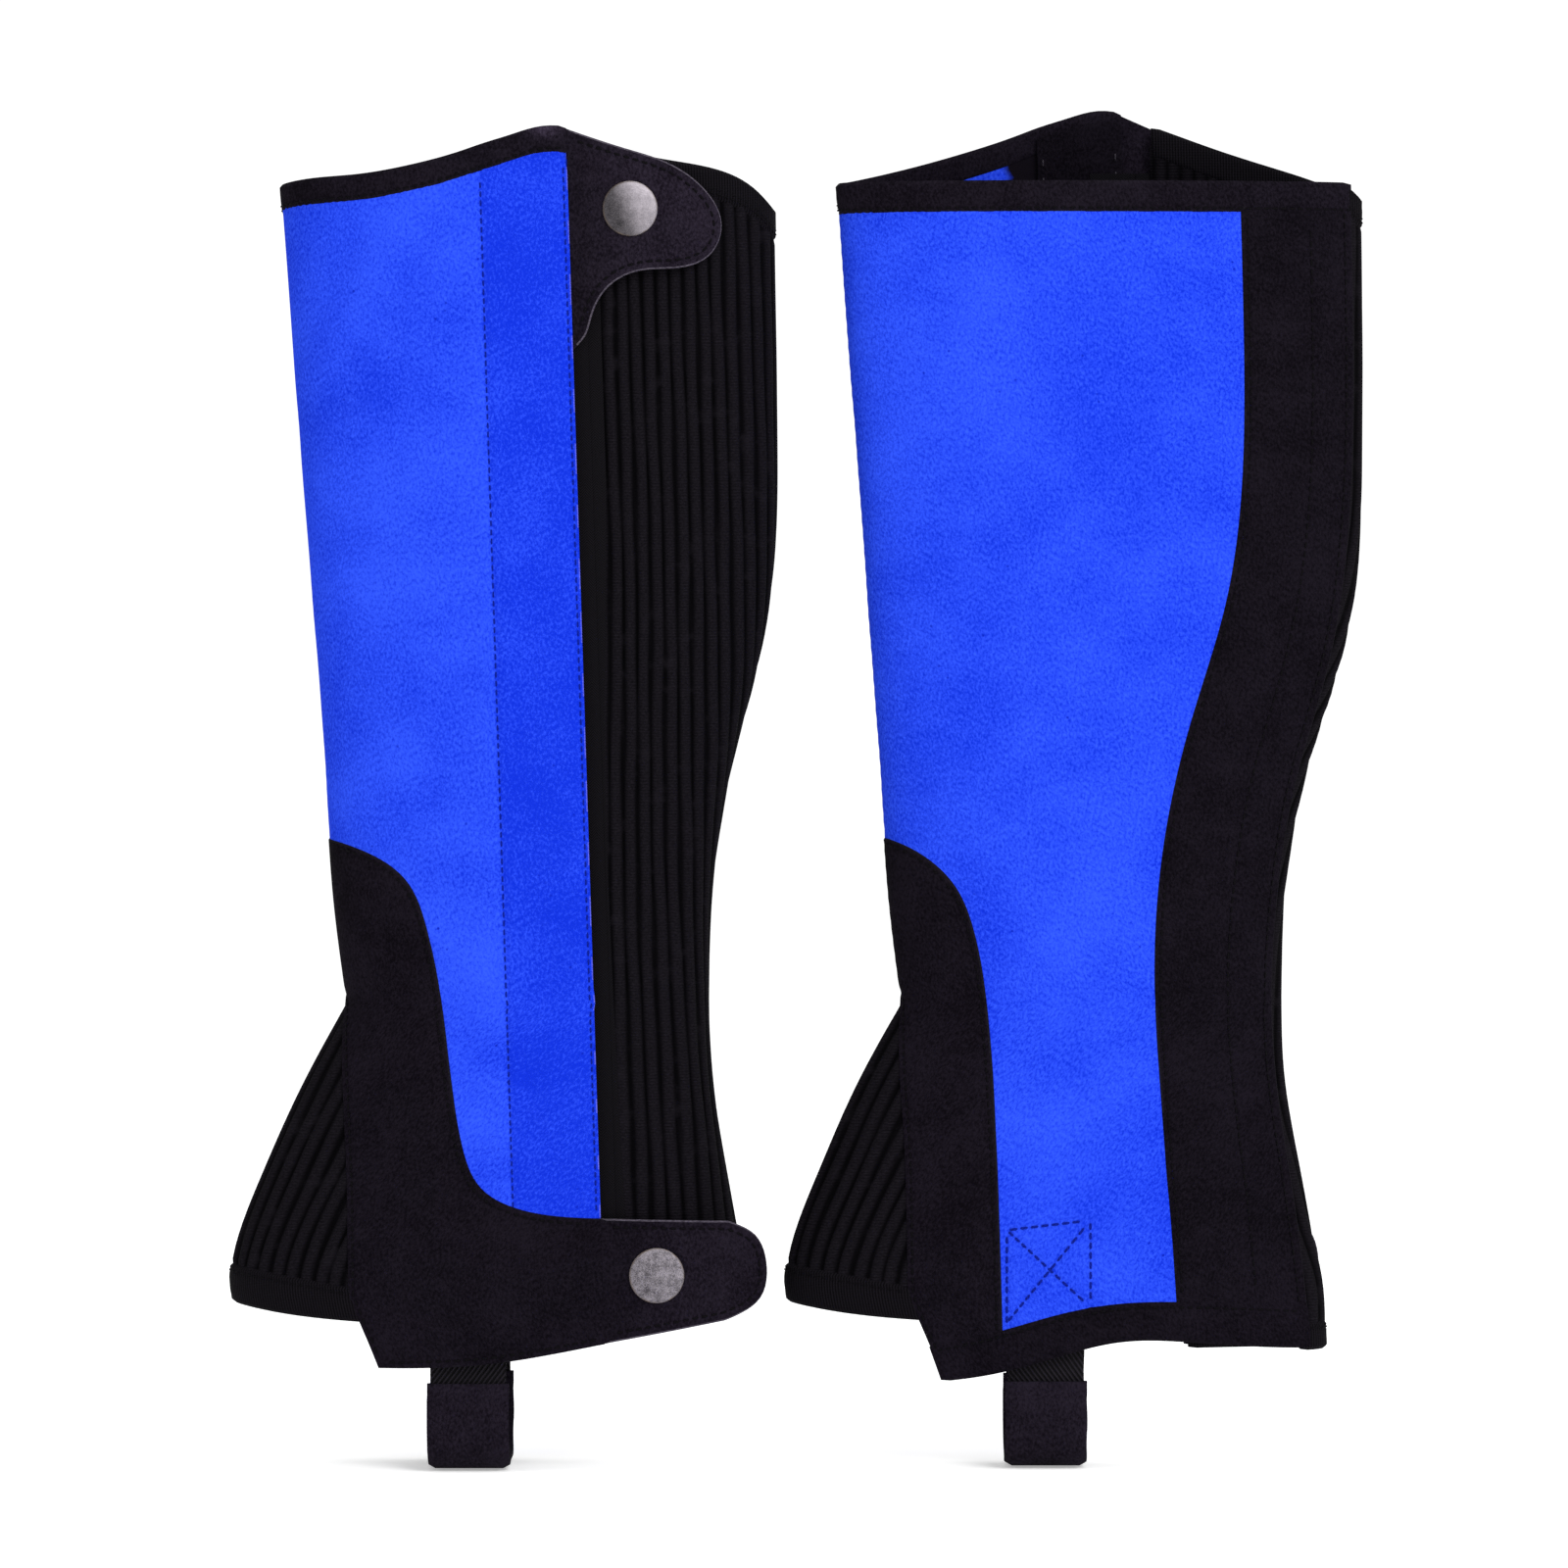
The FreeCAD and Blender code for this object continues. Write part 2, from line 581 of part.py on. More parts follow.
def tab_sheet(g, snap):
    """Flat behind the free edge, then curved round the calf; tall enough for any tab."""
    half = g.half_depth
    start = V(snap.start - FLAT_BEHIND - 3, 0, 0)
    turn = V(snap.start, 0, 0)
    sheets = []
    for depth in (TAB_OUT, TAB_BACK):
        level = V(0, -(half - depth), 0)
        heel = V(snap.start + snap.bend - depth, 0, 0)
        edges = [Part.makeLine(start, start + level), Part.makeLine(start + level, turn + level),
                 quarter(turn, turn + level, heel), Part.makeLine(heel, start)]
        sheets.append(Part.Face(Part.Wire(edges)).extrude(V(0, 0, 120)))
    sheet = sheets[0].cut(sheets[1])
    sheet.translate(V(0, 0, snap.spot[1] - 60))
    return sheet


def with_hole(g, snap, tab):
    hole = turned(g, snap, [(0, -3), (SHANK_R + 0.1, -3), (SHANK_R + 0.1, 3), (0, 3)])
    return one(tab.cut(hole))


def top_tab(g):
    high, low = TOP_TAB_ROOT
    start = (free_x(high) + 0.15, high)
    end = (free_x(low) + 0.15, low)
    edge = g.crowned([start] + TOP_TAB + [end])
    outline = face(edge, [edge[-1], edge[0]])
    snap = snaps(g)[0]
    return with_hole(g, snap, tab_sheet(g, snap).common(outer_side(outline)))


def foot_tab(g):
    start = (free_x(FOOT_TAB_TOP) + 0.15, FOOT_TAB_TOP)
    end = (free_x(42.3) + 0.15, 42.3)
    outline = face([start, FOOT_TAB_EDGE[0]], FOOT_TAB_EDGE, [FOOT_TAB_EDGE[-1], end], [end, start])
    snap = snaps(g)[1]
    return with_hole(g, snap, tab_sheet(g, snap).common(outer_side(outline)))


def top_cap(g):
    return snap_cap(g, snaps(g)[0])


def top_socket(g):
    return snap_socket(g, snaps(g)[0])


def foot_cap(g):
    return snap_cap(g, snaps(g)[1])


def foot_socket(g):
    return snap_socket(g, snaps(g)[1])


# ---- foot strap ----
def u_band(g, half_x, outside, thick, top):
    """Band under the foot: outside is how far its outer face lies outside the webbing's outer face."""
    reach = g.half_depth - 5.2 + outside
    low = SLEEVE + 0.1 - outside
    outer = slab(-half_x, half_x, -reach, reach, low, top)
    outer = outer.makeFillet(STRAP_BEND + outside, [e for e in outer.Edges if low_long_edge(e, low)])
    inner = slab(-half_x - 1, half_x + 1, thick - reach, reach - thick, low + thick, top + 1)
    round_in = STRAP_BEND + outside - thick
    inner = inner.makeFillet(round_in, [e for e in inner.Edges if low_long_edge(e, low + thick)])
    band = outer.cut(inner)
    band.translate(V(g.strap_x, 0, 0))
    return band


def low_long_edge(edge, low):
    """True for the bottom edges that run along X."""
    return abs(edge.tangentAt(edge.FirstParameter).x) > 0.99 and abs(edge.CenterOfMass.z - low) < 1e-3


def pivot_disc(g, radius):
    return Part.makeCylinder(radius, 140, V(g.strap_x, -70, STRAP_PIVOT_Z), V(0, 1, 0))


def strap_webbing(g):
    band = u_band(g, STRAP_HALF, 0.0, WEBBING, 60.0)
    keep = slab(-60, 60, -70, 70, -1, STRAP_PIVOT_Z).fuse(pivot_disc(g, STRAP_ROUND))
    return one(band.common(keep))


def strap_sleeve(g):
    outside = u_band(g, SLEEVE_HALF, SLEEVE + 0.1, WEBBING + 2 * SLEEVE + 0.2, SLEEVE_TOP)
    room = u_band(g, STRAP_HALF + 0.1, 0.1, WEBBING + 0.2, SLEEVE_TOP + 1)
    return one(outside.cut(room))


def strap_anchors(g):
    reach = g.half_depth - 5.2
    ends = []
    for y0 in (-reach, reach - WEBBING):
        end = slab(-STRAP_HALF, STRAP_HALF, y0, y0 + WEBBING, STRAP_PIVOT_Z, ANCHOR_TOP)
        end.translate(V(g.strap_x, 0, 0))
        ends.append(one(end.cut(pivot_disc(g, STRAP_ROUND + 0.3))))
    return Part.makeCompound(ends)


PIECES = {
    "main_panel": main_panel,
    "top_binding": top_binding,
    "calf_panel": calf_panel,
    "stretch_panel": stretch_panel,
    "rim_elastic": rim_elastic,
    "ankle_patch": ankle_patch,
    "hem_binding": hem_binding,
    "instep_gusset": instep_gusset,
    "gusset_binding": gusset_binding,
    "zip_tape_rear": zip_tape_rear,
    "zip_row_rear": zip_row_rear,
    "zip_box": zip_box,
    "snap_studs": snap_studs,
    "strap_anchors": strap_anchors,
    "zip_flap": zip_flap,
    "flap_binding": flap_binding,
    "flap_foot": flap_foot,
    "flap_facing": flap_facing,
    "zip_tape_front": zip_tape_front,
    "zip_row_front": zip_row_front,
    "top_tab": top_tab,
    "top_cap": top_cap,
    "top_socket": top_socket,
    "foot_tab": foot_tab,
    "foot_cap": foot_cap,
    "foot_socket": foot_socket,
    "zip_slider": zip_slider,
    "zip_pull": zip_pull,
    "strap_webbing": strap_webbing,
    "strap_sleeve": strap_sleeve,
}


def save(g, offset_x, mirrored):
    for name, make in PIECES.items():
        shape = make(g)
        if mirrored:
            shape = shape.mirror(V(0, 0, 0), V(0, 1, 0))
        shape.translate(V(offset_x, 0, 0))
        shape.exportStep("parts/" + g.side + "_" + name + ".step")


os.makedirs("parts", exist_ok=True)
save(LEFT, LEFT_X, False)
save(RIGHT, RIGHT_X, True)
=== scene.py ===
import math
import bpy
import numpy as np
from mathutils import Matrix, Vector
from mathutils.geometry import delaunay_2d_cdt


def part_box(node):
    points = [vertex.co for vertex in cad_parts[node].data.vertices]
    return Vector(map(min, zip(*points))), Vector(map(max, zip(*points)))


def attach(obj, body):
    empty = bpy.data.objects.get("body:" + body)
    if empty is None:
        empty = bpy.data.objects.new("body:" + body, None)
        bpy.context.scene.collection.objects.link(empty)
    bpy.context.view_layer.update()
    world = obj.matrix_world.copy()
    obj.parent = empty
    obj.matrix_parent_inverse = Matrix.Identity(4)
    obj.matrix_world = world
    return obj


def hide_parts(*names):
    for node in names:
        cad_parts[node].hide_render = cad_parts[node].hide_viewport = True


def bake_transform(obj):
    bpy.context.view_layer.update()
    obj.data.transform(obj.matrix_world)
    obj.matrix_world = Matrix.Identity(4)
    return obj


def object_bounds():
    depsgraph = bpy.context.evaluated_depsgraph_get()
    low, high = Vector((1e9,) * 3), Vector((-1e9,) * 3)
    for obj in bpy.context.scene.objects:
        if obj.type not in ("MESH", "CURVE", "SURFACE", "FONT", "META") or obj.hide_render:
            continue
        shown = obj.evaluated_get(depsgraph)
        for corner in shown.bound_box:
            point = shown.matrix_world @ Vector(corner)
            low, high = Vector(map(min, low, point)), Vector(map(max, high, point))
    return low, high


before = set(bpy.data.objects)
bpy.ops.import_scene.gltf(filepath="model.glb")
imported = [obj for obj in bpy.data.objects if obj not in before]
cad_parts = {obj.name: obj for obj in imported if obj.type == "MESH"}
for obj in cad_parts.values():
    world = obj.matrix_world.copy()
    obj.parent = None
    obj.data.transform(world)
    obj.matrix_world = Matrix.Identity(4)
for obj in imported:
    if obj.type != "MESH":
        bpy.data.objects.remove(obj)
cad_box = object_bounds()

# A pair of rider's half chaps. Shapes are built in each gaiter's own millimetres: X toward the calf, -Y the
# outer side, Z up the leg. A "chart" is a wall unrolled flat: distance round the leg, then height.

# ---- leg tube: height, front edge, rear edge ----
UPPER = [(153.6, -41.8, 77.8), (186, -45.8, 78.7), (211, -47.6, 81.6), (237, -49.4, 86.9), (262, -51.2, 93.6),
         (290, -53.3, 98.6), (340, -57.2, 100.2), (403, -61.9, 99.5), (450, -65.4, 98.6)]
LOWER = [(18, -70, 91.5), (42, -76, 91), (62, -80.4, 90), (74, -78.4, 87.8), (96, -70, 83.8), (122, -58.6, 79.7),
         (140, -49.4, 78.2), (153.6, -41.8, 77.8)]
LEAN = 0.0316          # the zip line moves forward this much per mm of height
FLAP = 28.5            # flap width
FLAT = 9.5             # flat strip behind the flap's free edge
SINK = 4.2             # the ribbed panel lies this far below the flap
SKIN = 1.3
PROUD = 0.45           # patches and bands stand this far above the suede
BAND_OUT, BAND_IN = 8.0, 9.6
RIM = 9.0
TAB_OUT, TAB_BACK = -0.35, 0.8

# ---- seam lines, (x, z) ----
TOP = [(-70, 420), (-54, 422.4), (-38, 423.4), (-19, 426.4), (-3, 430.6), (4, 433), (13, 435.8), (24, 438.8), (36, 438)]
PATCH_OUT = [(-90, 208), (-35.5, 203), (-21, 193.5), (-14, 178), (-8.5, 147), (-3.5, 111.5), (4, 92.6),
             (13.6, 87), (26, 84.2), (48, 83.2)]
PATCH_IN = [(-90, 208), (-36, 202), (-24, 190.5), (-18.8, 178), (-14, 151), (-10.6, 98), (-8.4, 20)]
INNER_TOP = 421.6
FRONT_SEAM = [(-41.8, 156), (-42.6, 146), (-41, 105.6), (-40.4, 80), (-40, 57.6)]
FRONT_CORNER = [(-40, 57.6), (-36, 48), (-30.6, 35), (-26, 20)]
CALF = [(63.2, 440), (65, 380), (65, 325), (60, 282), (51.3, 247.7), (44, 212), (40.6, 165), (42, 132),
        (45.6, 83.5), (49.3, 20)]
REAR = [(94.4, 440), (95.6, 370), (94.8, 310), (88.6, 262), (80.2, 226), (75.2, 190), (73.4, 154),
        (75.4, 122), (79.6, 92), (86.6, 20)]
HEM_OUT = [(-60, 34.8), (-14, 34.2), (12.5, 36.4), (30, 39.4), (50, 43.4)]
HEM_IN = [(-60, 28), (-9.6, 32.6), (10, 38), (29, 42.4), (60, 41.6), (130, 38.6)]
HEM_TOP = [(-42, 38.4), (-27.2, 41.3), (-9, 45.6), (10, 51), (30, 54.4), (49, 54.8), (130, 49)]
STRETCH_HEM = [(30, 37.6), (62, 38.6), (130, 42)]
GUSSET_TOP = [(-95, 68.4), (-62, 63.2), (-30, 58)]
GUSSET_HEM = [(-95, 57.4), (-62, 51.6), (-30, 49.2)]
RIM_LEFT = [(30, 436.5), (45, 432.8), (57.6, 429.4), (76.8, 426), (88.3, 422.2), (96, 416.5), (101, 411),
            (130, 404)]
RIM_RIGHT = [(30, 438), (45, 433.5), (60, 428.5), (75, 423.8), (88, 419.5), (99, 415), (130, 404)]
RIM_FLAT = [(50, 423), (80, 422.6), (94, 421), (112, 411)]
RIM_ROUND = [(50, 423), (78, 422.8), (90, 420), (97, 415.5), (112, 404)]
TOP_TAB = [(51.2, 432), (64, 427.8), (75.5, 420), (81.9, 407.5), (77.6, 397.2), (67, 393.2), (55, 392.2),
           (45.8, 387.6), (39.9, 378), (37.6, 371)]
TOP_ROOT = (437.2, 366.6)
FOOT_EDGE = [(84, 82.2), (92.8, 77.4), (96.6, 67.2), (94.8, 57), (83.2, 49.6)]
FOOT_ROOT = (82.6, 42.3)
TOP_SNAP, FOOT_SNAP = (52.2, 412.5), (60.8, 64.6)


def free_x(z):
    return 32.2 + LEAN * (412.0 - z)


def placket_x(z):
    return free_x(z) - FLAP


def spline(knots, values):
    """Natural cubic spline through values at knots."""
    x, y = np.asarray(knots, float), np.asarray(values, float)
    h, n = np.diff(x), len(x)
    a = np.eye(n)
    r = np.zeros_like(y)
    for i in range(1, n - 1):
        a[i, i - 1:i + 2] = h[i - 1], 2 * (h[i - 1] + h[i]), h[i]
        r[i] = 3 * ((y[i + 1] - y[i]) / h[i] - (y[i] - y[i - 1]) / h[i - 1])
    c = np.linalg.solve(a, r)

    def value(q):
        q = np.clip(np.asarray(q, float), x[0], x[-1])
        i = np.clip(np.searchsorted(x, q, side="right") - 1, 0, n - 2)
        t, w = q - x[i], h[i]
        if y.ndim > 1:
            t, w = t[:, None], w[:, None]
        slope = (y[i + 1] - y[i]) / w - w * (2 * c[i] + c[i + 1]) / 3
        return y[i] + t * (slope + t * (c[i] + t * (c[i + 1] - c[i]) / (3 * w)))
    return value


def curve(points, step=1.5):
    """Smooth line through points, cut into short steps."""
    p = np.array(points, float)
    t = np.concatenate([[0], np.cumsum(np.hypot(*np.diff(p, axis=0).T))])
    return spline(t, p)(np.linspace(0, t[-1], int(t[-1] / step) + 2))


def shift(line, dx, dz):
    return [(x + dx, z + dz) for x, z in line]


def resample(line, step):
    t = np.concatenate([[0], np.cumsum(np.hypot(*np.diff(line, axis=0).T))])
    q = np.linspace(0, t[-1], max(2, int(round(t[-1] / step)) + 1))
    return np.stack([np.interp(q, t, line[:, 0]), np.interp(q, t, line[:, 1])], 1)


def bump(x, middle, width):
    return np.exp(-((x - middle) / width) ** 2)


def smooth(x, a, b):
    t = np.clip((x - a) / (b - a), 0, 1)
    return t * t * (3 - 2 * t)


class Gaiter:
    def __init__(self, side, mirror, reach, strap, crown, lift, rim_inner):
        self.side, self.mirror, self.reach, self.strap = side, mirror, reach, strap
        self.crown, self.lift, self.rim_inner = crown, lift, rim_inner
        lo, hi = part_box(side + "_zip_flap")
        self.half = 1000 * (-lo.y if mirror > 0 else hi.y)
        lo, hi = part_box(side + "_strap_sleeve")
        self.x0 = 500 * (lo.x + hi.x) - strap
        self.shell = Tube(self, 0.0)
        self.sunk = Tube(self, SINK)

    def back(self, x, z):
        line = free_x(z)
        return np.where(x > line, line + (x - line) * self.reach, x)

    def points(self, line):
        return [(float(self.back(np.array(x), z)), z) for x, z in line]

    def crowned(self, line):
        """Top line of the outer side, raised toward the peak in front of the zip."""
        x, z = np.array(line, float).T
        ramp = np.maximum(np.minimum((x + 60) / 84, (99 - x) / 75), 0)
        front = np.clip((x + 60) / 84, 0, 1)
        ramp = ramp + 1.5 * front * (1 - front)
        return list(zip(x, z + self.crown * ramp * np.clip((z - 400) / 20, 0, 1)))

    def lifted(self, line):
        """Hem line, raised toward the heel."""
        x, z = np.array(line, float).T
        return list(zip(x, z + self.lift * smooth(x, 15, 80)))

    def world(self, p):
        """Gaiter millimetres to metres in the shared frame."""
        return (np.asarray(p, float) * (1, self.mirror, 1) + (self.x0, 0, 0)) * 0.001


class Tube:
    """Cross-sections of the leg tube; sink lowers its outer side."""

    def __init__(self, g, sink):
        self.g, self.z0 = g, 18.0
        z = self.z = np.arange(18.0, 446.0)
        up, low = np.array(UPPER, float), np.array(LOWER, float)
        ends = np.where((z >= 153.6)[:, None], spline(up[:, 0], up[:, 1:])(z), spline(low[:, 0], low[:, 1:])(z))
        self.front, self.rear = ends[:, 0], g.back(ends[:, 1], z)
        f, r = self.front[:, None], self.rear[:, None]
        x1, x2 = placket_x(z)[:, None], free_x(z)[:, None] + FLAT
        xm = 8.0 - 0.015 * z[:, None]
        t = np.linspace(0, math.pi / 2, 121)[None]
        cos, sin, out, inn = np.cos(t), np.sin(t), g.half - sink, g.half
        flat = np.linspace(0, 1, 30)[None, 1:-1]
        rev = slice(None, None, -1)
        xs = [x2 + (r - x2) * cos, x2 + (x1 - x2) * flat, (x1 - (x1 - f) * cos)[:, rev],
              (xm - (xm - f) * cos)[:, 1:], (xm + (r - xm) * cos)[:, rev][:, 1:]]
        one = np.ones_like(x1)
        ys = [-out * sin * one, -out + 0 * (x1 * flat), (-out * sin * one)[:, rev], (inn * sin * one)[:, 1:],
              (inn * sin * one)[:, rev][:, 1:]]
        us = [-cos * one, 0 * (x1 * flat), (cos * one)[:, rev], (cos * one)[:, 1:], (-cos * one)[:, rev][:, 1:]]
        vs = [sin * one, 1 + 0 * (x1 * flat), (sin * one)[:, rev], (-sin * one)[:, 1:], (-sin * one)[:, rev][:, 1:]]
        self.ring = [np.concatenate(part, axis=1) for part in (xs, ys, us, vs)]
        steps = np.hypot(np.diff(self.ring[0], axis=1), np.diff(self.ring[1], axis=1))
        self.run = np.concatenate([0 * x1, np.cumsum(steps, axis=1)], axis=1)
        self.nose_index = 121 + 28 + 120
        self.nose = self.run[:, self.nose_index]
        self.total = self.run[:, -1]

    def row(self, z):
        q = np.clip((np.asarray(z, float) - self.z0), 0, len(self.z) - 1.001)
        return q.astype(int), q - q.astype(int)

    def edge(self, values, z):
        i, w = self.row(z)
        return values[i] * (1 - w) + values[i + 1] * w

    def inside(self, line):
        """Part of a line that lies between the front and rear edges, with its ends on them."""
        front, rear = self.edge(self.front, line[:, 1]), self.edge(self.rear, line[:, 1])
        over = np.maximum(front - line[:, 0], line[:, 0] - rear)
        keep = np.flatnonzero(over < 0)
        a, b = keep[0], keep[-1]
        out = [line[a:b + 1]]
        if a > 0:
            w = over[a - 1] / (over[a - 1] - over[a])
            out.insert(0, (line[a - 1] * (1 - w) + line[a] * w)[None])
        if b < len(line) - 1:
            w = over[b + 1] / (over[b + 1] - over[b])
            out.append((line[b + 1] * (1 - w) + line[b] * w)[None])
        return np.concatenate(out)

    def chart_line(self, line, outer, origin):
        """(x, z) line on one side of the tube to chart coordinates counted from the nose or the heel."""
        out = []
        k = self.nose_index
        for x, z in line:
            i, w = self.row(z)
            s = []
            for n in (i, i + 1):
                if outer:
                    run = np.interp(x, self.ring[0][n, :k + 1][::-1], self.run[n, :k + 1][::-1])
                else:
                    run = np.interp(x, self.ring[0][n, k:], self.run[n, k:])
                if origin == "nose":
                    run -= self.nose[n]
                elif not outer:
                    run -= self.total[n]
                s.append(run)
            out.append((s[0] * (1 - w) + s[1] * w, z))
        return np.array(out)

    def chart(self, origin, low, high):
        return Chart(self, origin, low, high)


class Chart:
    """Looks up positions on the tube from (distance round the leg, height)."""

    def __init__(self, tube, origin, low, high):
        self.tube, self.origin, self.low = tube, origin, low
        s = np.arange(low, high + 0.5, 0.5)
        self.grid = np.empty((4, len(tube.z), len(s)))
        for n in range(len(tube.z)):
            run = tube.run[n]
            both = np.concatenate([run[:-1] - run[-1], run])
            q = s + (tube.nose[n] if origin == "nose" else 0.0)
            for k in range(4):
                part = tube.ring[k][n]
                self.grid[k, n] = np.interp(q, both, np.concatenate([part[:-1], part]))

    def outer(self, line):
        return self.tube.chart_line(self.tube.inside(line), True, self.origin)

    def inner(self, line):
        return self.tube.chart_line(self.tube.inside(line), False, self.origin)

    def place(self, p, depth):
        p = np.asarray(p, float)
        i, w = self.tube.row(p[:, 1])
        q = np.clip((p[:, 0] - self.low) * 2, 0, self.grid.shape[2] - 1.001)
        j = q.astype(int)
        v = q - j
        a = self.grid[:, i, j] * (1 - v) + self.grid[:, i, j + 1] * v
        b = self.grid[:, i + 1, j] * (1 - v) + self.grid[:, i + 1, j + 1] * v
        x, y, ox, oy = a * (1 - w) + b * w
        depth = depth - folds(self.tube.g, x, y, p[:, 1])
        return np.stack([x + ox * depth, y + oy * depth, p[:, 1]], 1)


# ---- soft folds shared by every layer, mm outward ----
FOLDS_OUT = [(-28, 398, 1.05, 7, 34, 0.75), (4, 392, 0.9, 6, 26, -0.45), (-38, 352, 0.5, 9, 30, -0.5),
             (-6, 336, 0.75, 9, 42, 0.55), (-30, 288, 0.35, 12, 40, 0.5), (-4, 250, 1.2, 10, 40, -0.4),
             (-25, 232, 0.6, 9, 30, 0.45), (2, 168, -0.55, 8, 32, 0.6), (8, 136, -0.6, 6, 26, -0.5),
             (4, 112, -0.5, 6, 22, 0.5), (-24, 110, 0.2, 12, 40, 0.35), (20, 300, 1.4, 8, 45, 0.25),
             (22, 380, 1.3, 6, 30, -0.22)]
FOLDS_IN = [(-20, 372, 1.2, 16, 60, 0.7), (30, 330, 1.45, 14, 60, -0.6), (10, 262, 0.9, 12, 45, 0.6),
            (-25, 240, 0.4, 12, 40, -0.5), (20, 196, 1.1, 12, 50, 0.5), (6, 118, 0.25, 10, 30, 0.55),
            (28, 88, 0.5, 8, 30, -0.45), (80, 330, 1.5, 8, 60, 0.5), (62, 150, 1.4, 9, 45, -0.4)]


def folds(g, x, y, z):
    outer = smooth(-y, -10, 10)
    total = 0.0
    for group, share in ((FOLDS_OUT, outer), (FOLDS_IN, 1 - outer)):
        for cx, cz, angle, width, length, height in group:
            dx, dz = x - cx, z - cz
            along = dx * math.cos(angle) + dz * math.sin(angle)
            across = -dx * math.sin(angle) + dz * math.cos(angle)
            total = total + share * height * np.exp(-(across / width) ** 2 - (along / length) ** 2)
    total = total + 0.22 * np.sin(x / 17 + z / 43 + g.mirror) * np.sin(z / 37 - x / 51)
    zip_zone = smooth(x, placket_x(z) + 4, placket_x(z) + 16) * outer
    ends = smooth(z, 20, 60) * (1 - smooth(z, 402, 425) * 0.7)
    return total * (1 - 0.75 * zip_zone) * (0.35 + 0.65 * ends)


# ---- meshes ----
def inside_loop(p, loop):
    """Even-odd test of many points."""
    a, b = loop, np.roll(loop, -1, axis=0)
    rise = np.where(b[:, 1] == a[:, 1], 1e-12, b[:, 1] - a[:, 1])
    hit = np.zeros(len(p), bool)
    for k in range(0, len(p), 4000):
        x, y = p[k:k + 4000, 0, None], p[k:k + 4000, 1, None]
        crosses = (a[None, :, 1] > y) != (b[None, :, 1] > y)
        left = x < (b[:, 0] - a[:, 0]) * (y - a[:, 1]) / rise + a[:, 0]
        hit[k:k + 4000] = (crosses & left).sum(axis=1) % 2 == 1
    return hit


def near_line(p, line):
    """Distance of many points to a line."""
    a, d = line[:-1], np.diff(line, axis=0)
    square = np.maximum((d * d).sum(axis=1), 1e-12)
    best = np.empty(len(p))
    for k in range(0, len(p), 3000):
        x, y = p[k:k + 3000, 0, None] - a[:, 0], p[k:k + 3000, 1, None] - a[:, 1]
        t = np.clip((x * d[:, 0] + y * d[:, 1]) / square, 0, 1)
        best[k:k + 3000] = np.sqrt(((x - t * d[:, 0]) ** 2 + (y - t * d[:, 1]) ** 2).min(axis=1))
    return best


def offset(line, distance):
    d = np.gradient(line, axis=0)
    n = np.stack([-d[:, 1], d[:, 0]], 1) / np.maximum(np.hypot(*d.T), 1e-9)[:, None]
    return line + n * distance


def outward(loop):
    """Unit outward directions of a closed loop's points."""
    d = np.roll(loop, -1, axis=0) - np.roll(loop, 1, axis=0)
    n = np.stack([d[:, 1], -d[:, 0]], 1)
    n /= np.maximum(np.hypot(*n.T), 1e-9)[:, None]
    area = np.sum(loop[:, 0] * np.roll(loop[:, 1], -1) - np.roll(loop[:, 0], -1) * loop[:, 1])
    return n if area > 0 else -n


def untangled(points, reach=6):
    """Loop without the small knots that form where two runs overshoot each other."""
    points = list(points)
    k = 0
    while k < len(points):
        n = len(points)
        a, b = points[k], points[(k + 1) % n]
        for j in range(reach, 1, -1):
            c, d = points[(k + j) % n], points[(k + j + 1) % n]
            u, v, w = b - a, d - c, c - a
            cross = u[0] * v[1] - u[1] * v[0]
            if abs(cross) < 1e-9:
                continue
            s, t = (w[0] * v[1] - w[1] * v[0]) / cross, (w[0] * u[1] - w[1] * u[0]) / cross
            if 0 <= s <= 1 and 0 <= t <= 1:
                knot = {(k + i) % n for i in range(2, j + 1)}
                points[(k + 1) % n] = a + u * s
                points = [p for i, p in enumerate(points) if i not in knot]
                break
        k += 1
    return np.array(points)


def closed(*runs, step=2.5):
    """Loop made of runs, each cut to even steps."""
    points = []
    for run in runs:
        run = resample(np.asarray(run, float), step)
        if points and np.hypot(*(points[-1] - run[0])) < 1.0:
            points[-1] = (points[-1] + run[0]) / 2
            run = run[1:]
        points.extend(run)
    if np.hypot(*(points[-1] - points[0])) < 1.0:
        points[0] = (points[0] + points.pop()) / 2
    return untangled(points)


def triangulate(points, loops, scale=(1, 1)):
    """Triangles inside the first loop and outside the others; the loops' points come first."""
    edges, start = [], 0
    for loop in loops:
        n = len(loop)
        edges += [(start + k, start + (k + 1) % n) for k in range(n)]
        start += n
    q = points * scale
    out = delaunay_2d_cdt([Vector(p) for p in q], edges, [], 0, 1e-7)
    if len(out[0]) != len(points):
        raise RuntimeError("loop crosses itself: %d points became %d" % (len(points), len(out[0])))
    tris = np.array([f for f in out[2]], int)
    middle = points[tris].mean(axis=1)
    keep = inside_loop(middle, loops[0])
    for hole in loops[1:]:
        keep &= ~inside_loop(middle, hole)
    tris = tris[keep]
    a, b, c = (points[tris[:, k]] for k in range(3))
    area = (b[:, 0] - a[:, 0]) * (c[:, 1] - a[:, 1]) - (b[:, 1] - a[:, 1]) * (c[:, 0] - a[:, 0])
    tris[area < 0] = tris[area < 0][:, ::-1]
    return tris[np.abs(area) > 1e-9]


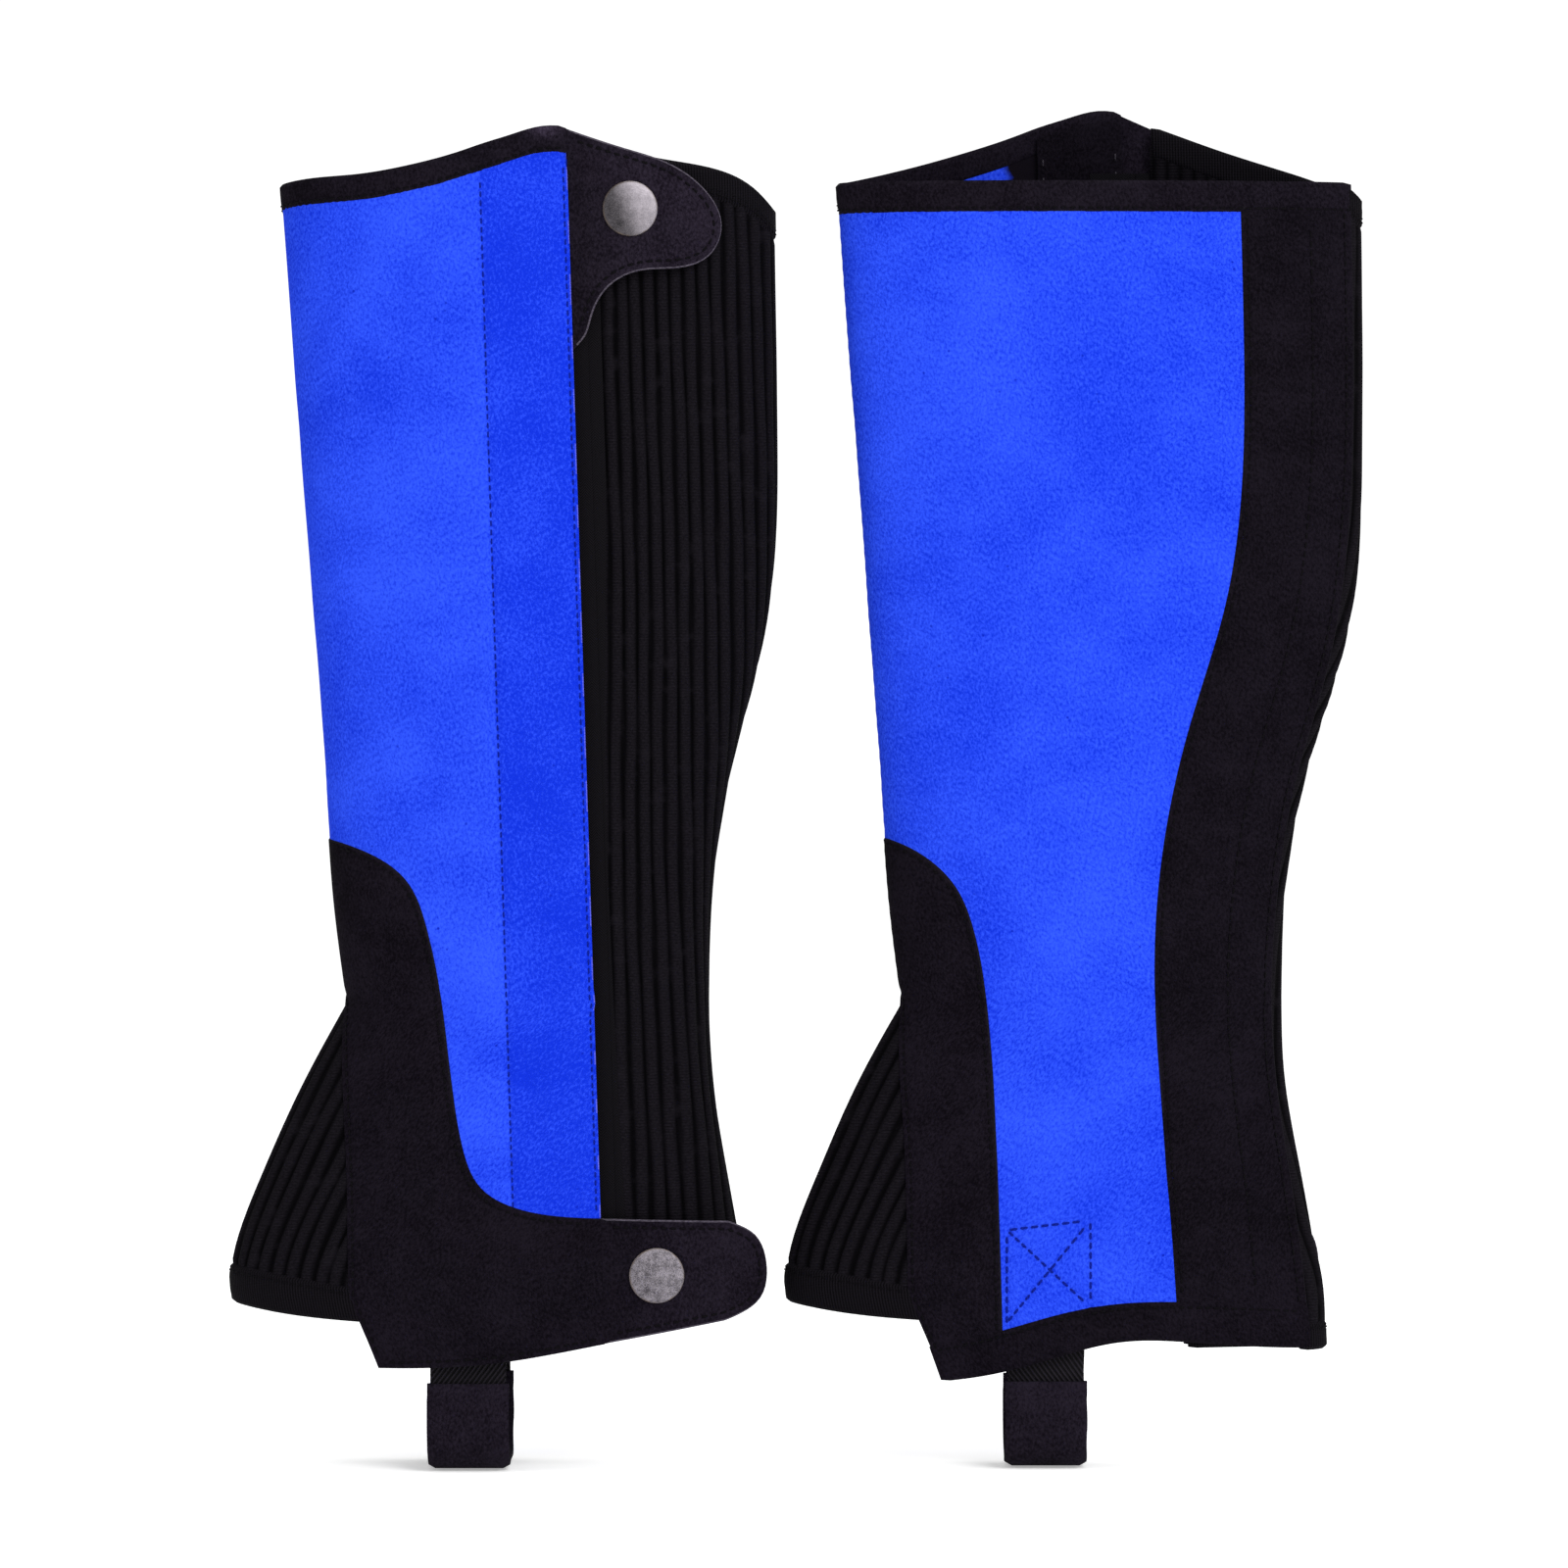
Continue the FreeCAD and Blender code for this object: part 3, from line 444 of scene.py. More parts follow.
def build(g, name, verts, faces, uvs, kinds, materials, values=None):
    """Mesh object from gaiter millimetres; kinds picks each face's material."""
    mesh = bpy.data.meshes.new(name)
    if g.mirror < 0:
        faces = [f[::-1] for f in faces]
    mesh.from_pydata(g.world(verts).tolist(), [], faces)
    for m in materials:
        mesh.materials.append(m)
    mesh.polygons.foreach_set("material_index", np.asarray(kinds, np.int32))
    mesh.polygons.foreach_set("use_smooth", np.ones(len(faces), bool))
    corner = np.empty(len(mesh.loops), np.int32)
    mesh.loops.foreach_get("vertex_index", corner)
    layer = mesh.uv_layers.new(name="chart")
    layer.data.foreach_set("uv", (np.asarray(uvs, float)[corner] * 0.001).ravel())
    for key, value in (values or {}).items():
        attribute = mesh.attributes.new(key, "FLOAT", "POINT")
        attribute.data.foreach_set("value", np.asarray(value, np.float32))
    mesh.update()
    mesh.set_sharp_from_angle(angle=math.radians(52))
    piece = bpy.data.objects.new("soft_" + g.side + "_" + name, mesh)
    bpy.context.scene.collection.objects.link(piece)
    return piece


def ring(loop):
    return np.vstack([loop, loop[:1]])


def sheet(g, name, place, loop, near, far, materials, step=3.0, holes=(), grooves=(), fold=0.0, soft=0.3,
          crisp=None, bevel=0.55, relief=None, values=None):
    """Closed sheet of cloth between two depths. materials are outer face, edge, inner face. grooves are
    stitched lines pressed in, fold pushes the edge out into a rounded fold, and an edge on the crisp line
    stays square. A bevel colours that much of the outer face like the edge."""
    loops = [loop] + list(holes)
    edge = np.concatenate(loops)
    out = np.concatenate([outward(loop)] + [-outward(h) for h in holes])
    give = np.ones(len(edge)) if crisp is None else smooth(near_line(edge, crisp), 0.2, 1.4)
    inset = edge - out * abs(bevel)
    inset = inset[inside_loop(inset, loop) & (near_line(inset, ring(loop)) > 0.7 * abs(bevel))]
    extra = [inset]
    lo, hi = loop.min(axis=0), loop.max(axis=0)
    rows = np.arange(lo[1] + step / 2, hi[1], step * 0.866)
    cols = np.arange(lo[0], hi[0] + step, step)
    points = np.array([(x + (step / 2 if k % 2 else 0), z) for k, z in enumerate(rows) for x in cols])
    keep = inside_loop(points, loop) & (near_line(points, ring(loop)) > 0.45 * step)
    for hole in holes:
        keep &= ~inside_loop(points, hole) & (near_line(points, ring(hole)) > 0.45 * step)
    points = points[keep]
    for line in grooves:
        line = resample(line, 2.2)
        points = points[near_line(points, line) > 1.6]
        for off in (-0.9, 0.0, 0.9):
            row = offset(line, off)
            ok = inside_loop(row, loop) & (near_line(row, ring(loop)) > 0.9)
            for other in (e for e in extra if len(e)):
                ok &= np.min(np.hypot(row[:, None, 0] - other[:, 0], row[:, None, 1] - other[:, 1]), axis=1) > 0.35
            extra.append(row[ok])
    flat = np.concatenate([edge] + extra + [points])
    tris = triangulate(flat, loops)
    n, m = len(flat), len(edge)
    dent = np.zeros(n)
    for line in grooves:
        dent = np.maximum(dent, 0.3 * bump(near_line(flat, line), 0, 0.75))
    top_depth, low_depth = near + dent, far - dent * 0.3
    if relief is not None:
        top_depth, low_depth = relief(flat, top_depth, low_depth)
    top_depth[:m] += soft * give
    low_depth[:m] -= soft * 0.6 * give
    belt = place(edge + out * fold * give[:, None], 0.5 * (top_depth[:m] + low_depth[:m]))
    top, low = place(flat, top_depth), place(flat, low_depth)
    normal = np.cross(top[tris[:, 1]] - top[tris[:, 0]], top[tris[:, 2]] - top[tris[:, 0]])
    inward = np.einsum("ij,ij->i", normal, (low - top)[tris[:, 0]]).sum() > 0
    a = tris[:, ::-1] if inward else tris
    rim = (a < m + len(inset)).all(axis=1) & (bevel > 0)
    if crisp is not None:
        rim &= near_line(flat[a].mean(axis=1), crisp) > 1.0
    faces = a.tolist() + (a[:, ::-1] + n).tolist()
    kinds = rim.astype(int).tolist() + [2] * len(a)
    start = 0
    for k, lp in enumerate(loops):
        turn = (np.sum(lp[:, 0] * np.roll(lp[:, 1], -1) - np.roll(lp[:, 0], -1) * lp[:, 1]) > 0) != (k > 0)
        for j in range(len(lp)):
            p, q = start + j, start + (j + 1) % len(lp)
            if turn == inward:
                p, q = q, p
            faces += [[p, 2 * n + p, 2 * n + q, q], [2 * n + p, n + p, n + q, 2 * n + q]]
            kinds += [1, 1]
        start += len(lp)
    uvs = np.concatenate([flat, flat + (0, 500), edge + out * 0.7])
    layers = {}
    for key, value in (values or {}).items():
        value = value(flat) if callable(value) else (np.full(n, value), np.full(n, value))
        layers[key] = np.concatenate([value[0], value[1], value[0][:m]])
    return build(g, name, np.concatenate([top, low, belt]), faces, uvs, kinds, materials, layers)


class Stitches:
    """Collects thread stitches for one mesh."""

    def __init__(self):
        self.verts, self.faces, self.uvs = [], [], []

    def add(self, place, line, depth, pitch=3.0, length=2.1, thick=0.27, rise=0.1, sides=6, start=0.5):
        line = resample(np.asarray(line, float), 0.5)
        t = np.concatenate([[0], np.cumsum(np.hypot(*np.diff(line, axis=0).T))])
        count = int((t[-1] - start) / pitch)
        if count < 1:
            return
        mids = start + (np.arange(count) + 0.5) * pitch
        stops = [(-0.5, 0.45, -0.35), (-0.32, 0.95, 0.6), (0.32, 0.95, 0.6), (0.5, 0.45, -0.35)]
        rings = []
        for along, size, lift in stops:
            q = mids + along * length
            p = np.stack([np.interp(q, t, line[:, 0]), np.interp(q, t, line[:, 1])], 1)
            e = np.stack([np.interp(q + 0.2, t, line[:, 0]), np.interp(q + 0.2, t, line[:, 1])], 1)
            f = np.stack([np.interp(q - 0.2, t, line[:, 0]), np.interp(q - 0.2, t, line[:, 1])], 1)
            base = place(p, np.full(count, float(depth)))
            up = place(p, np.full(count, depth - 1.0)) - base
            up /= np.linalg.norm(up, axis=1)[:, None]
            go = place(e, np.full(count, float(depth))) - place(f, np.full(count, float(depth)))
            go /= np.maximum(np.linalg.norm(go, axis=1), 1e-9)[:, None]
            across = np.cross(up, go)
            centre = base + up * (rise * lift / 0.6)
            for k in range(sides):
                a = 2 * math.pi * k / sides
                rings.append(centre + (across * math.cos(a) + up * math.sin(a) * 0.8) * thick * size)
        rings = np.array(rings).reshape(4, sides, count, 3)
        for c in range(count):
            n = len(self.verts)
            self.verts.extend(rings[:, :, c].reshape(-1, 3))
            self.uvs.extend([(mids[c] + i * 0.5, 0.3 * j) for i in range(4) for j in range(sides)])
            for i in range(3):
                for j in range(sides):
                    j2 = (j + 1) % sides
                    self.faces.append([n + i * sides + j, n + i * sides + j2,
                                       n + (i + 1) * sides + j2, n + (i + 1) * sides + j])
            self.faces.append([n + j for j in range(sides)][::-1])
            self.faces.append([n + 3 * sides + j for j in range(sides)])

    def piece(self, g, name, material):
        return build(g, name, np.array(self.verts), self.faces, np.array(self.uvs), [0] * len(self.faces), [material])


# ---- materials ----
class Shader:
    """Small helper round a node tree with one Principled surface."""

    def __init__(self, name):
        self.mat = bpy.data.materials.new(name)
        self.mat.use_nodes = True
        self.tree = self.mat.node_tree
        self.tree.nodes.clear()
        self.out = self.tree.nodes.new("ShaderNodeOutputMaterial")
        self.surface = self.node("ShaderNodeBsdfPrincipled")
        self.tree.links.new(self.surface.outputs[0], self.out.inputs[0])

    def node(self, kind, props=None, **inputs):
        n = self.tree.nodes.new(kind)
        for key, value in (props or {}).items():
            setattr(n, key, value)
        self.set(n, **inputs)
        return n

    def set(self, n, **inputs):
        for key, value in inputs.items():
            socket = n.inputs[int(key[1:])] if key[0] == "i" and key[1:].isdigit() else n.inputs[key.replace("_", " ")]
            if isinstance(value, bpy.types.NodeSocket):
                self.tree.links.new(value, socket)
            else:
                socket.default_value = value

    def chart(self, sx=1.0, sy=1.0, turn=0.0):
        """Chart coordinates in metres, scaled and turned."""
        uv = self.node("ShaderNodeUVMap", {"uv_map": "chart"})
        m = self.node("ShaderNodeMapping", Vector=uv.outputs[0])
        m.inputs["Rotation"].default_value = (0, 0, turn)
        m.inputs["Scale"].default_value = (sx, sy, 1)
        return m.outputs[0]

    def place(self, centre=(0, 0, 0), scale=(1, 1, 1)):
        """Frame coordinates about a centre, for hard pieces."""
        c = self.node("ShaderNodeTexCoord")
        m = self.node("ShaderNodeMapping", Vector=c.outputs["Object"])
        m.inputs["Location"].default_value = tuple(-a * b for a, b in zip(centre, scale))
        m.inputs["Scale"].default_value = scale
        return m.outputs[0]

    def noise(self, where, scale, detail=3.0, rough=0.55):
        return self.node("ShaderNodeTexNoise", Vector=where, Scale=scale, Detail=detail, Roughness=rough).outputs[0]

    def wave(self, where, scale, direction="X", bend=0.0, detail_scale=1.0):
        n = self.node("ShaderNodeTexWave", {"bands_direction": direction}, Vector=where, Scale=scale,
                      Distortion=bend, Detail=1.0)
        n.inputs["Detail Scale"].default_value = detail_scale
        return n.outputs["Fac"]

    def attribute(self, name):
        return self.node("ShaderNodeAttribute", {"attribute_name": name}).outputs["Fac"]

    def math(self, operation, a, b=0.0, clamp=False):
        return self.node("ShaderNodeMath", {"operation": operation, "use_clamp": clamp}, i0=a, i1=b).outputs[0]

    def span(self, value, low, high, to_low=0.0, to_high=1.0):
        n = self.node("ShaderNodeMapRange", {"interpolation_type": "SMOOTHSTEP"}, Value=value)
        n.inputs["From Min"].default_value, n.inputs["From Max"].default_value = low, high
        n.inputs["To Min"].default_value, n.inputs["To Max"].default_value = to_low, to_high
        return n.outputs[0]

    def mix(self, share, a, b, kind="MIX"):
        n = self.node("ShaderNodeMix", {"data_type": "RGBA", "blend_type": kind})
        for socket, value in ((n.inputs[0], share), (n.inputs[6], a), (n.inputs[7], b)):
            if isinstance(value, bpy.types.NodeSocket):
                self.tree.links.new(value, socket)
            elif isinstance(value, tuple):
                socket.default_value = value + (1.0,)
            else:
                socket.default_value = value
        return n.outputs[2]

    def bumped(self, height, strength, distance, under=None):
        n = self.node("ShaderNodeBump", Height=height, Strength=strength, Distance=distance)
        if under is not None:
            self.tree.links.new(under, n.inputs["Normal"])
        return n.outputs[0]

    def finish(self, colour, rough, normal=None, **more):
        self.set(self.surface, Base_Color=colour, Roughness=rough)
        for key, value in more.items():
            self.set(self.surface, **{key: value})
        if normal is not None:
            self.tree.links.new(normal, self.surface.inputs["Normal"])
        return self.mat


def suede(name, dark, light, speck, grain):
    """Brushed suede: cloudy tone, short nap, fine grain. From the mesh come tone (painted shade and painted highlight
    on the blue panel), a brightening that is partly wear and partly painted light from above, and lining.
    """
    s = Shader(name)
    uv = s.chart()
    broad, mottle = s.noise(uv, 42, 2), s.noise(uv, 250, 3, 0.6)
    nap = s.noise(s.chart(1.0, 0.7, 0.35), 1150, 3, 0.7)
    # tone carries the blue panel's painted shade and painted highlight.
    tone = s.math("ADD", 0.5 - 0.5 * sum(grain), s.attribute("tone"))
    for value, share in zip((broad, mottle, nap), grain):
        tone = s.math("ADD", tone, s.math("MULTIPLY", value, share))
    colour = s.mix(s.math("ADD", tone, 0.0, clamp=True), dark, light)
    if speck:
        v = s.node("ShaderNodeTexVoronoi", Vector=uv, Scale=210.0)
        size = s.span(v.outputs["Distance"], 0.04, 0.13, 1.0, 0.0)
        colour = s.mix(s.math("MULTIPLY", size, s.span(s.noise(uv, 75, 1), 0.57, 0.66)), colour, speck)
    # Brightening set per piece: partly wear, partly painted light from above.
    brightened = s.node("ShaderNodeVectorMath", {"operation": "SCALE"}, i0=colour)
    s.tree.links.new(s.math("ADD", 1.0, s.math("MULTIPLY", s.attribute("wear"), 1.9)), brightened.inputs["Scale"])
    colour = s.mix(s.attribute("lining"), brightened.outputs[0], (0.004, 0.003, 0.005))
    normal = s.bumped(nap, 0.5, 0.0002, s.bumped(mottle, 0.35, 0.0005))
    return s.finish(colour, 0.95, normal, Specular_IOR_Level=0.03)


def cut_edge(name, colour, spots):
    """Raw edge of cut suede: paler fibres in thin layers."""
    s = Shader(name)
    fibres = s.noise(s.chart(1, 3), 700, 4, 0.7)
    tone = s.mix(s.span(fibres, 0.3, 0.7), colour, spots)
    return s.finish(tone, 0.95, s.bumped(fibres, 0.6, 0.0003), Specular_IOR_Level=0.05)


def thread(name, dark, light):
    s = Shader(name)
    twist = s.wave(s.chart(1, 1, 0.6), 900, "X", 1.0)
    return s.finish(s.mix(twist, dark, light), 0.8, s.bumped(twist, 0.5, 0.0001), Specular_IOR_Level=0.06)


def ribbed_elastic():
    """Knit over rounded ribs: light crowns, grooves painted dark as shade, fine courses across."""
    s = Shader("ribbed_elastic")
    uv = s.chart()
    rib = s.attribute("rib")
    course = s.wave(s.chart(1, 1), 320, "Y", 2.2, 3.0)
    fluff = s.noise(s.chart(1.0, 1.6), 1100, 4, 0.7)
    wear = s.noise(uv, 120, 3)
    crown = s.mix(s.span(fluff, 0.3, 0.75), (0.0030, 0.0024, 0.0036), (0.0092, 0.0078, 0.0106))
    # Painted shade: the grooves go near black by rib height, crowns keep the fluffy knit colour.
    colour = s.mix(s.span(rib, 0.2, 0.95), (0.0006, 0.0004, 0.0008), crown)
    colour = s.mix(s.math("MULTIPLY", s.span(course, 0.2, 0.8, 0.5, 0.0), 0.6), colour, (0.001, 0.001, 0.0012))
    colour = s.mix(s.math("MULTIPLY", s.span(wear, 0.55, 0.75), 0.35), colour, (0.0095, 0.0080, 0.0110))
    normal = s.bumped(course, 0.5, 0.00025, s.bumped(fluff, 0.5, 0.00025))
    return s.finish(colour, 0.92, normal, Specular_IOR_Level=0.03)


def woven_elastic():
    """Flat elastic tape: narrow warp ribs with tight weft across them."""
    s = Shader("woven_elastic")
    warp = s.wave(s.chart(), 330, "X", 0.4)
    weft = s.wave(s.chart(), 620, "Y", 0.8)
    fluff = s.noise(s.chart(), 1300, 3, 0.7)
    weave = s.math("ADD", s.math("MULTIPLY", warp, 0.65), s.math("MULTIPLY", weft, 0.35))
    colour = s.mix(s.span(weave, 0.15, 0.85), (0.0008, 0.0006, 0.0010), (0.0056, 0.0046, 0.0066))
    colour = s.mix(s.math("MULTIPLY", s.span(fluff, 0.5, 0.8), 0.3), colour, (0.009, 0.008, 0.010))
    return s.finish(colour, 0.85, s.bumped(weave, 0.7, 0.0003, s.bumped(fluff, 0.3, 0.0001)),
                    Specular_IOR_Level=0.04)


def zip_tape():
    """Herringbone tape."""
    s = Shader("zip_tape")
    one = s.wave(s.chart(1, 1, 0.75), 520, "X")
    two = s.wave(s.chart(1, 1, -0.75), 520, "X")
    side = s.span(s.wave(s.chart(), 90, "X"), 0.45, 0.55)
    weave = s.math("ADD", s.math("MULTIPLY", one, side), s.math("MULTIPLY", two, s.math("SUBTRACT", 1.0, side)))
    colour = s.mix(weave, (0.0010, 0.0008, 0.0012), (0.0046, 0.0038, 0.0054))
    return s.finish(colour, 0.8, s.bumped(weave, 0.6, 0.0002), Specular_IOR_Level=0.05)


def webbing():
    """Strap webbing with a bold diagonal twill."""
    s = Shader("webbing")
    twill = s.wave(s.chart(1, 1, -0.62), 235, "X", 0.35)
    fluff = s.noise(s.chart(), 1400, 3, 0.7)
    colour = s.mix(s.span(twill, 0.25, 0.8), (0.0010, 0.0008, 0.0012), (0.0120, 0.0100, 0.0140))
    colour = s.mix(s.math("MULTIPLY", s.span(fluff, 0.5, 0.8), 0.4), colour, (0.018, 0.016, 0.020))
    return s.finish(colour, 0.7, s.bumped(twill, 0.9, 0.0005, s.bumped(fluff, 0.3, 0.0001)), Specular_IOR_Level=0.08)


def zip_plastic():
    s = Shader("zip_plastic")
    flow = s.noise(s.place(), 900, 4, 0.6)
    rub = s.noise(s.place(), 160, 2)
    colour = s.mix(s.span(rub, 0.4, 0.7), (0.0040, 0.0038, 0.0044), (0.0120, 0.0112, 0.0125))
    return s.finish(colour, s.span(flow, 0.3, 0.7, 0.34, 0.52), s.bumped(flow, 0.2, 0.0001), Specular_IOR_Level=0.4)


def gunmetal(name, centre, radius, dome):
    """Oxidised snap metal: speckled, darker in the pits, brassy where the rim is rubbed, with a painted highlight
    toward the right and painted shade toward the left.
    """
    s = Shader(name)
    where = s.place(centre)
    fine, blot = s.noise(where, 2600, 4, 0.7), s.noise(where, 420, 4, 0.6)
    grain = s.math("ADD", s.math("MULTIPLY", fine, 0.6), s.math("MULTIPLY", blot, 0.4))
    colour = s.mix(s.span(grain, 0.38, 0.62), (0.050, 0.045, 0.052), (0.250, 0.228, 0.254))
    # Painted light: a painted highlight toward the right and painted shade toward the left, blended in as strongly as
    # the caller asks.
    across = s.node("ShaderNodeVectorMath", {"operation": "DOT_PRODUCT"}, i0=where, i1=(0.94, 0.0, 0.34))
    painted_lit_side = s.span(across.outputs["Value"], -0.6 * radius, 0.5 * radius)
    colour = s.mix(painted_lit_side, s.mix(dome, colour, (0.012, 0.011, 0.012)), s.mix(dome * 0.6, colour, (0.36, 0.33, 0.36)))
    away = s.node("ShaderNodeVectorMath", {"operation": "LENGTH"}, i0=where).outputs["Value"]
    rim = s.span(away, radius * 0.93, radius * 1.0)
    rub_wear_and_fold_highlight = s.math("MULTIPLY", rim, s.span(blot, 0.40, 0.60, 0.2, 0.85))
    colour = s.mix(rub_wear_and_fold_highlight, colour, (0.085, 0.062, 0.045))
    return s.finish(colour, s.span(fine, 0.3, 0.7, 0.40, 0.62), s.bumped(grain, 0.35, 0.00018), Metallic=0.85,
                    Specular_IOR_Level=0.5)


BLUE = suede("blue_suede", (0.0035, 0.021, 0.47), (0.0240, 0.072, 0.72), (0.002, 0.012, 0.34), (0.75, 0.35, 3.0))
BLACK = suede("black_suede", (0.0016, 0.0011, 0.0021), (0.0058, 0.0044, 0.0074), None, (1.3, 0.9, 3.4))
PALE = cut_edge("pale_edge", (0.022, 0.018, 0.026), (0.085, 0.074, 0.095))
DULL = cut_edge("dull_edge", (0.003, 0.0024, 0.0038), (0.010, 0.0085, 0.012))
LILAC = cut_edge("blue_edge", (0.030, 0.045, 0.50), (0.11, 0.13, 0.68))
BLUE_THREAD = thread("blue_thread", (0.0008, 0.0035, 0.10), (0.002, 0.012, 0.28))
BLACK_THREAD = thread("black_thread", (0.0006, 0.0004, 0.0008), (0.0028, 0.0022, 0.0034))
PALE_THREAD = thread("pale_thread", (0.010, 0.009, 0.012), (0.045, 0.040, 0.050))
RIBBED = ribbed_elastic()
WOVEN = woven_elastic()
TAPE = zip_tape()
TWILL = webbing()
PLASTIC = zip_plastic()


# ---- ribbed panel's pattern: where the first rib lies and how far apart the ribs are, by height ----
RIB_START = spline([20, 86, 140, 192, 240, 301, 355, 412], [48.0, 45.9, 44.2, 43.2, 43.2, 43.2, 41.3, 39.6])
RIB_PITCH = spline([20, 86, 140, 192, 240, 301, 355, 412], [5.5, 5.3, 5.0, 4.7, 4.55, 4.45, 4.5, 4.5])
TAPE_EDGE = spline([20, 60, 86, 140, 182, 224, 270, 320, 412], [8.4, 7.6, 6.8, 5.6, 5.0, 5.0, 6.4, 8.2, 9.0])


class RibMap:
    """Turns (rib number, height) into heel chart coordinates for one gaiter's ribbed panel."""

    def __init__(self, g):
        self.g, self.tube = g, g.sunk
        self.chart = g.sunk.chart("heel", -130.0, 130.0)
        s = self.s = np.arange(-130.0, 130.5, 0.5)
        x = self.chart.grid[0]
        slope = np.maximum(np.abs(np.gradient(x, 0.5, axis=1)), 0.8)
        gained = np.concatenate([np.zeros((len(x), 1)), np.cumsum(0.5 * (slope[:, 1:] + slope[:, :-1]) * 0.5, axis=1)], axis=1)
        self.number = np.empty_like(x)
        for n, z in enumerate(g.sunk.z):
            edge = free_x(z) + FLAT
            at = np.interp(edge, x[n][s >= 0][::-1], s[s >= 0][::-1])
            here = np.interp(at, s, gained[n])
            run = edge - (gained[n] - here)
            self.number[n] = (run - float(RIB_START([z])[0])) / float(RIB_PITCH([z])[0])
        self.number_rev = self.number[:, ::-1]
        self.s_rev = s[::-1]

    def numbers(self, p):
        """Rib numbers of chart points."""
        i, w = self.tube.row(p[:, 1])
        out = np.empty(len(p))
        for k in range(len(p)):
            a = np.interp(p[k, 0], self.s, self.number[i[k]])
            b = np.interp(p[k, 0], self.s, self.number[i[k] + 1])
            out[k] = a * (1 - w[k]) + b * w[k]
        return out

    def chart_points(self, q):
        """Chart points of (rib number, height)."""
        i, w = self.tube.row(q[:, 1])
        out = np.empty_like(q)
        out[:, 1] = q[:, 1]
        for k in range(len(q)):
            a = np.interp(q[k, 0], self.number_rev[i[k]], self.s_rev)
            b = np.interp(q[k, 0], self.number_rev[i[k] + 1], self.s_rev)
            out[k, 0] = a * (1 - w[k]) + b * w[k]
        return out


def rib_height(number, z):
    """0 in a groove to 1 on a crown, with slightly wandering ribs."""
    k = np.round(number)
    wander = 0.05 * np.sin(z / 19 + 2.1 * k) + 0.03 * np.sin(z / 7.3 + 1.3 * k)
    return np.abs(np.cos(math.pi * (number + wander))) ** 0.75


def rib_points(low, high, z_low, z_high, columns=8, rows=4.0):
    a = np.arange(math.floor(low * columns), math.ceil(high * columns) + 1) / columns
    z = np.arange(z_low, z_high, rows)
    return np.array([(n, h) for h in z for n in a])


def strip_outline(side_x, z_low, z_high):
    z = np.linspace(z_low, z_high, 80)
    return np.stack([side_x(z), z], 1)


def meet(line, other):
    """Index of the point of a line nearest to another line."""
    return int(np.argmin(near_line(line, other)))


def trim(line, start=None, end=None):
    """Line cut where it passes nearest to the start and end lines."""
    line = resample(line, 0.5)
    a = meet(line, start) if start is not None else 0
    b = meet(line, end) if end is not None else len(line) - 1
    if a > b:
        line = line[::-1]
        a, b = len(line) - 1 - a, len(line) - 1 - b
    return line[a:b + 1]


# ---- one gaiter ----
def by_distance(line):
    return line if line[0, 0] < line[-1, 0] else line[::-1]


def level(g, drop):
    """Line below the inner side's rim; the left gaiter's rim droops toward the heel."""
    x = np.linspace(-75.0, 112.0, 90)
    return np.stack([x, INNER_TOP - drop - (5.0 if g.mirror > 0 else 0.0) * smooth(x, 78, 98)], 1)


def inside_tone(value):
    """Attribute value for the outer face only."""
    return lambda flat: (np.full(len(flat), value), np.full(len(flat), 0.0))


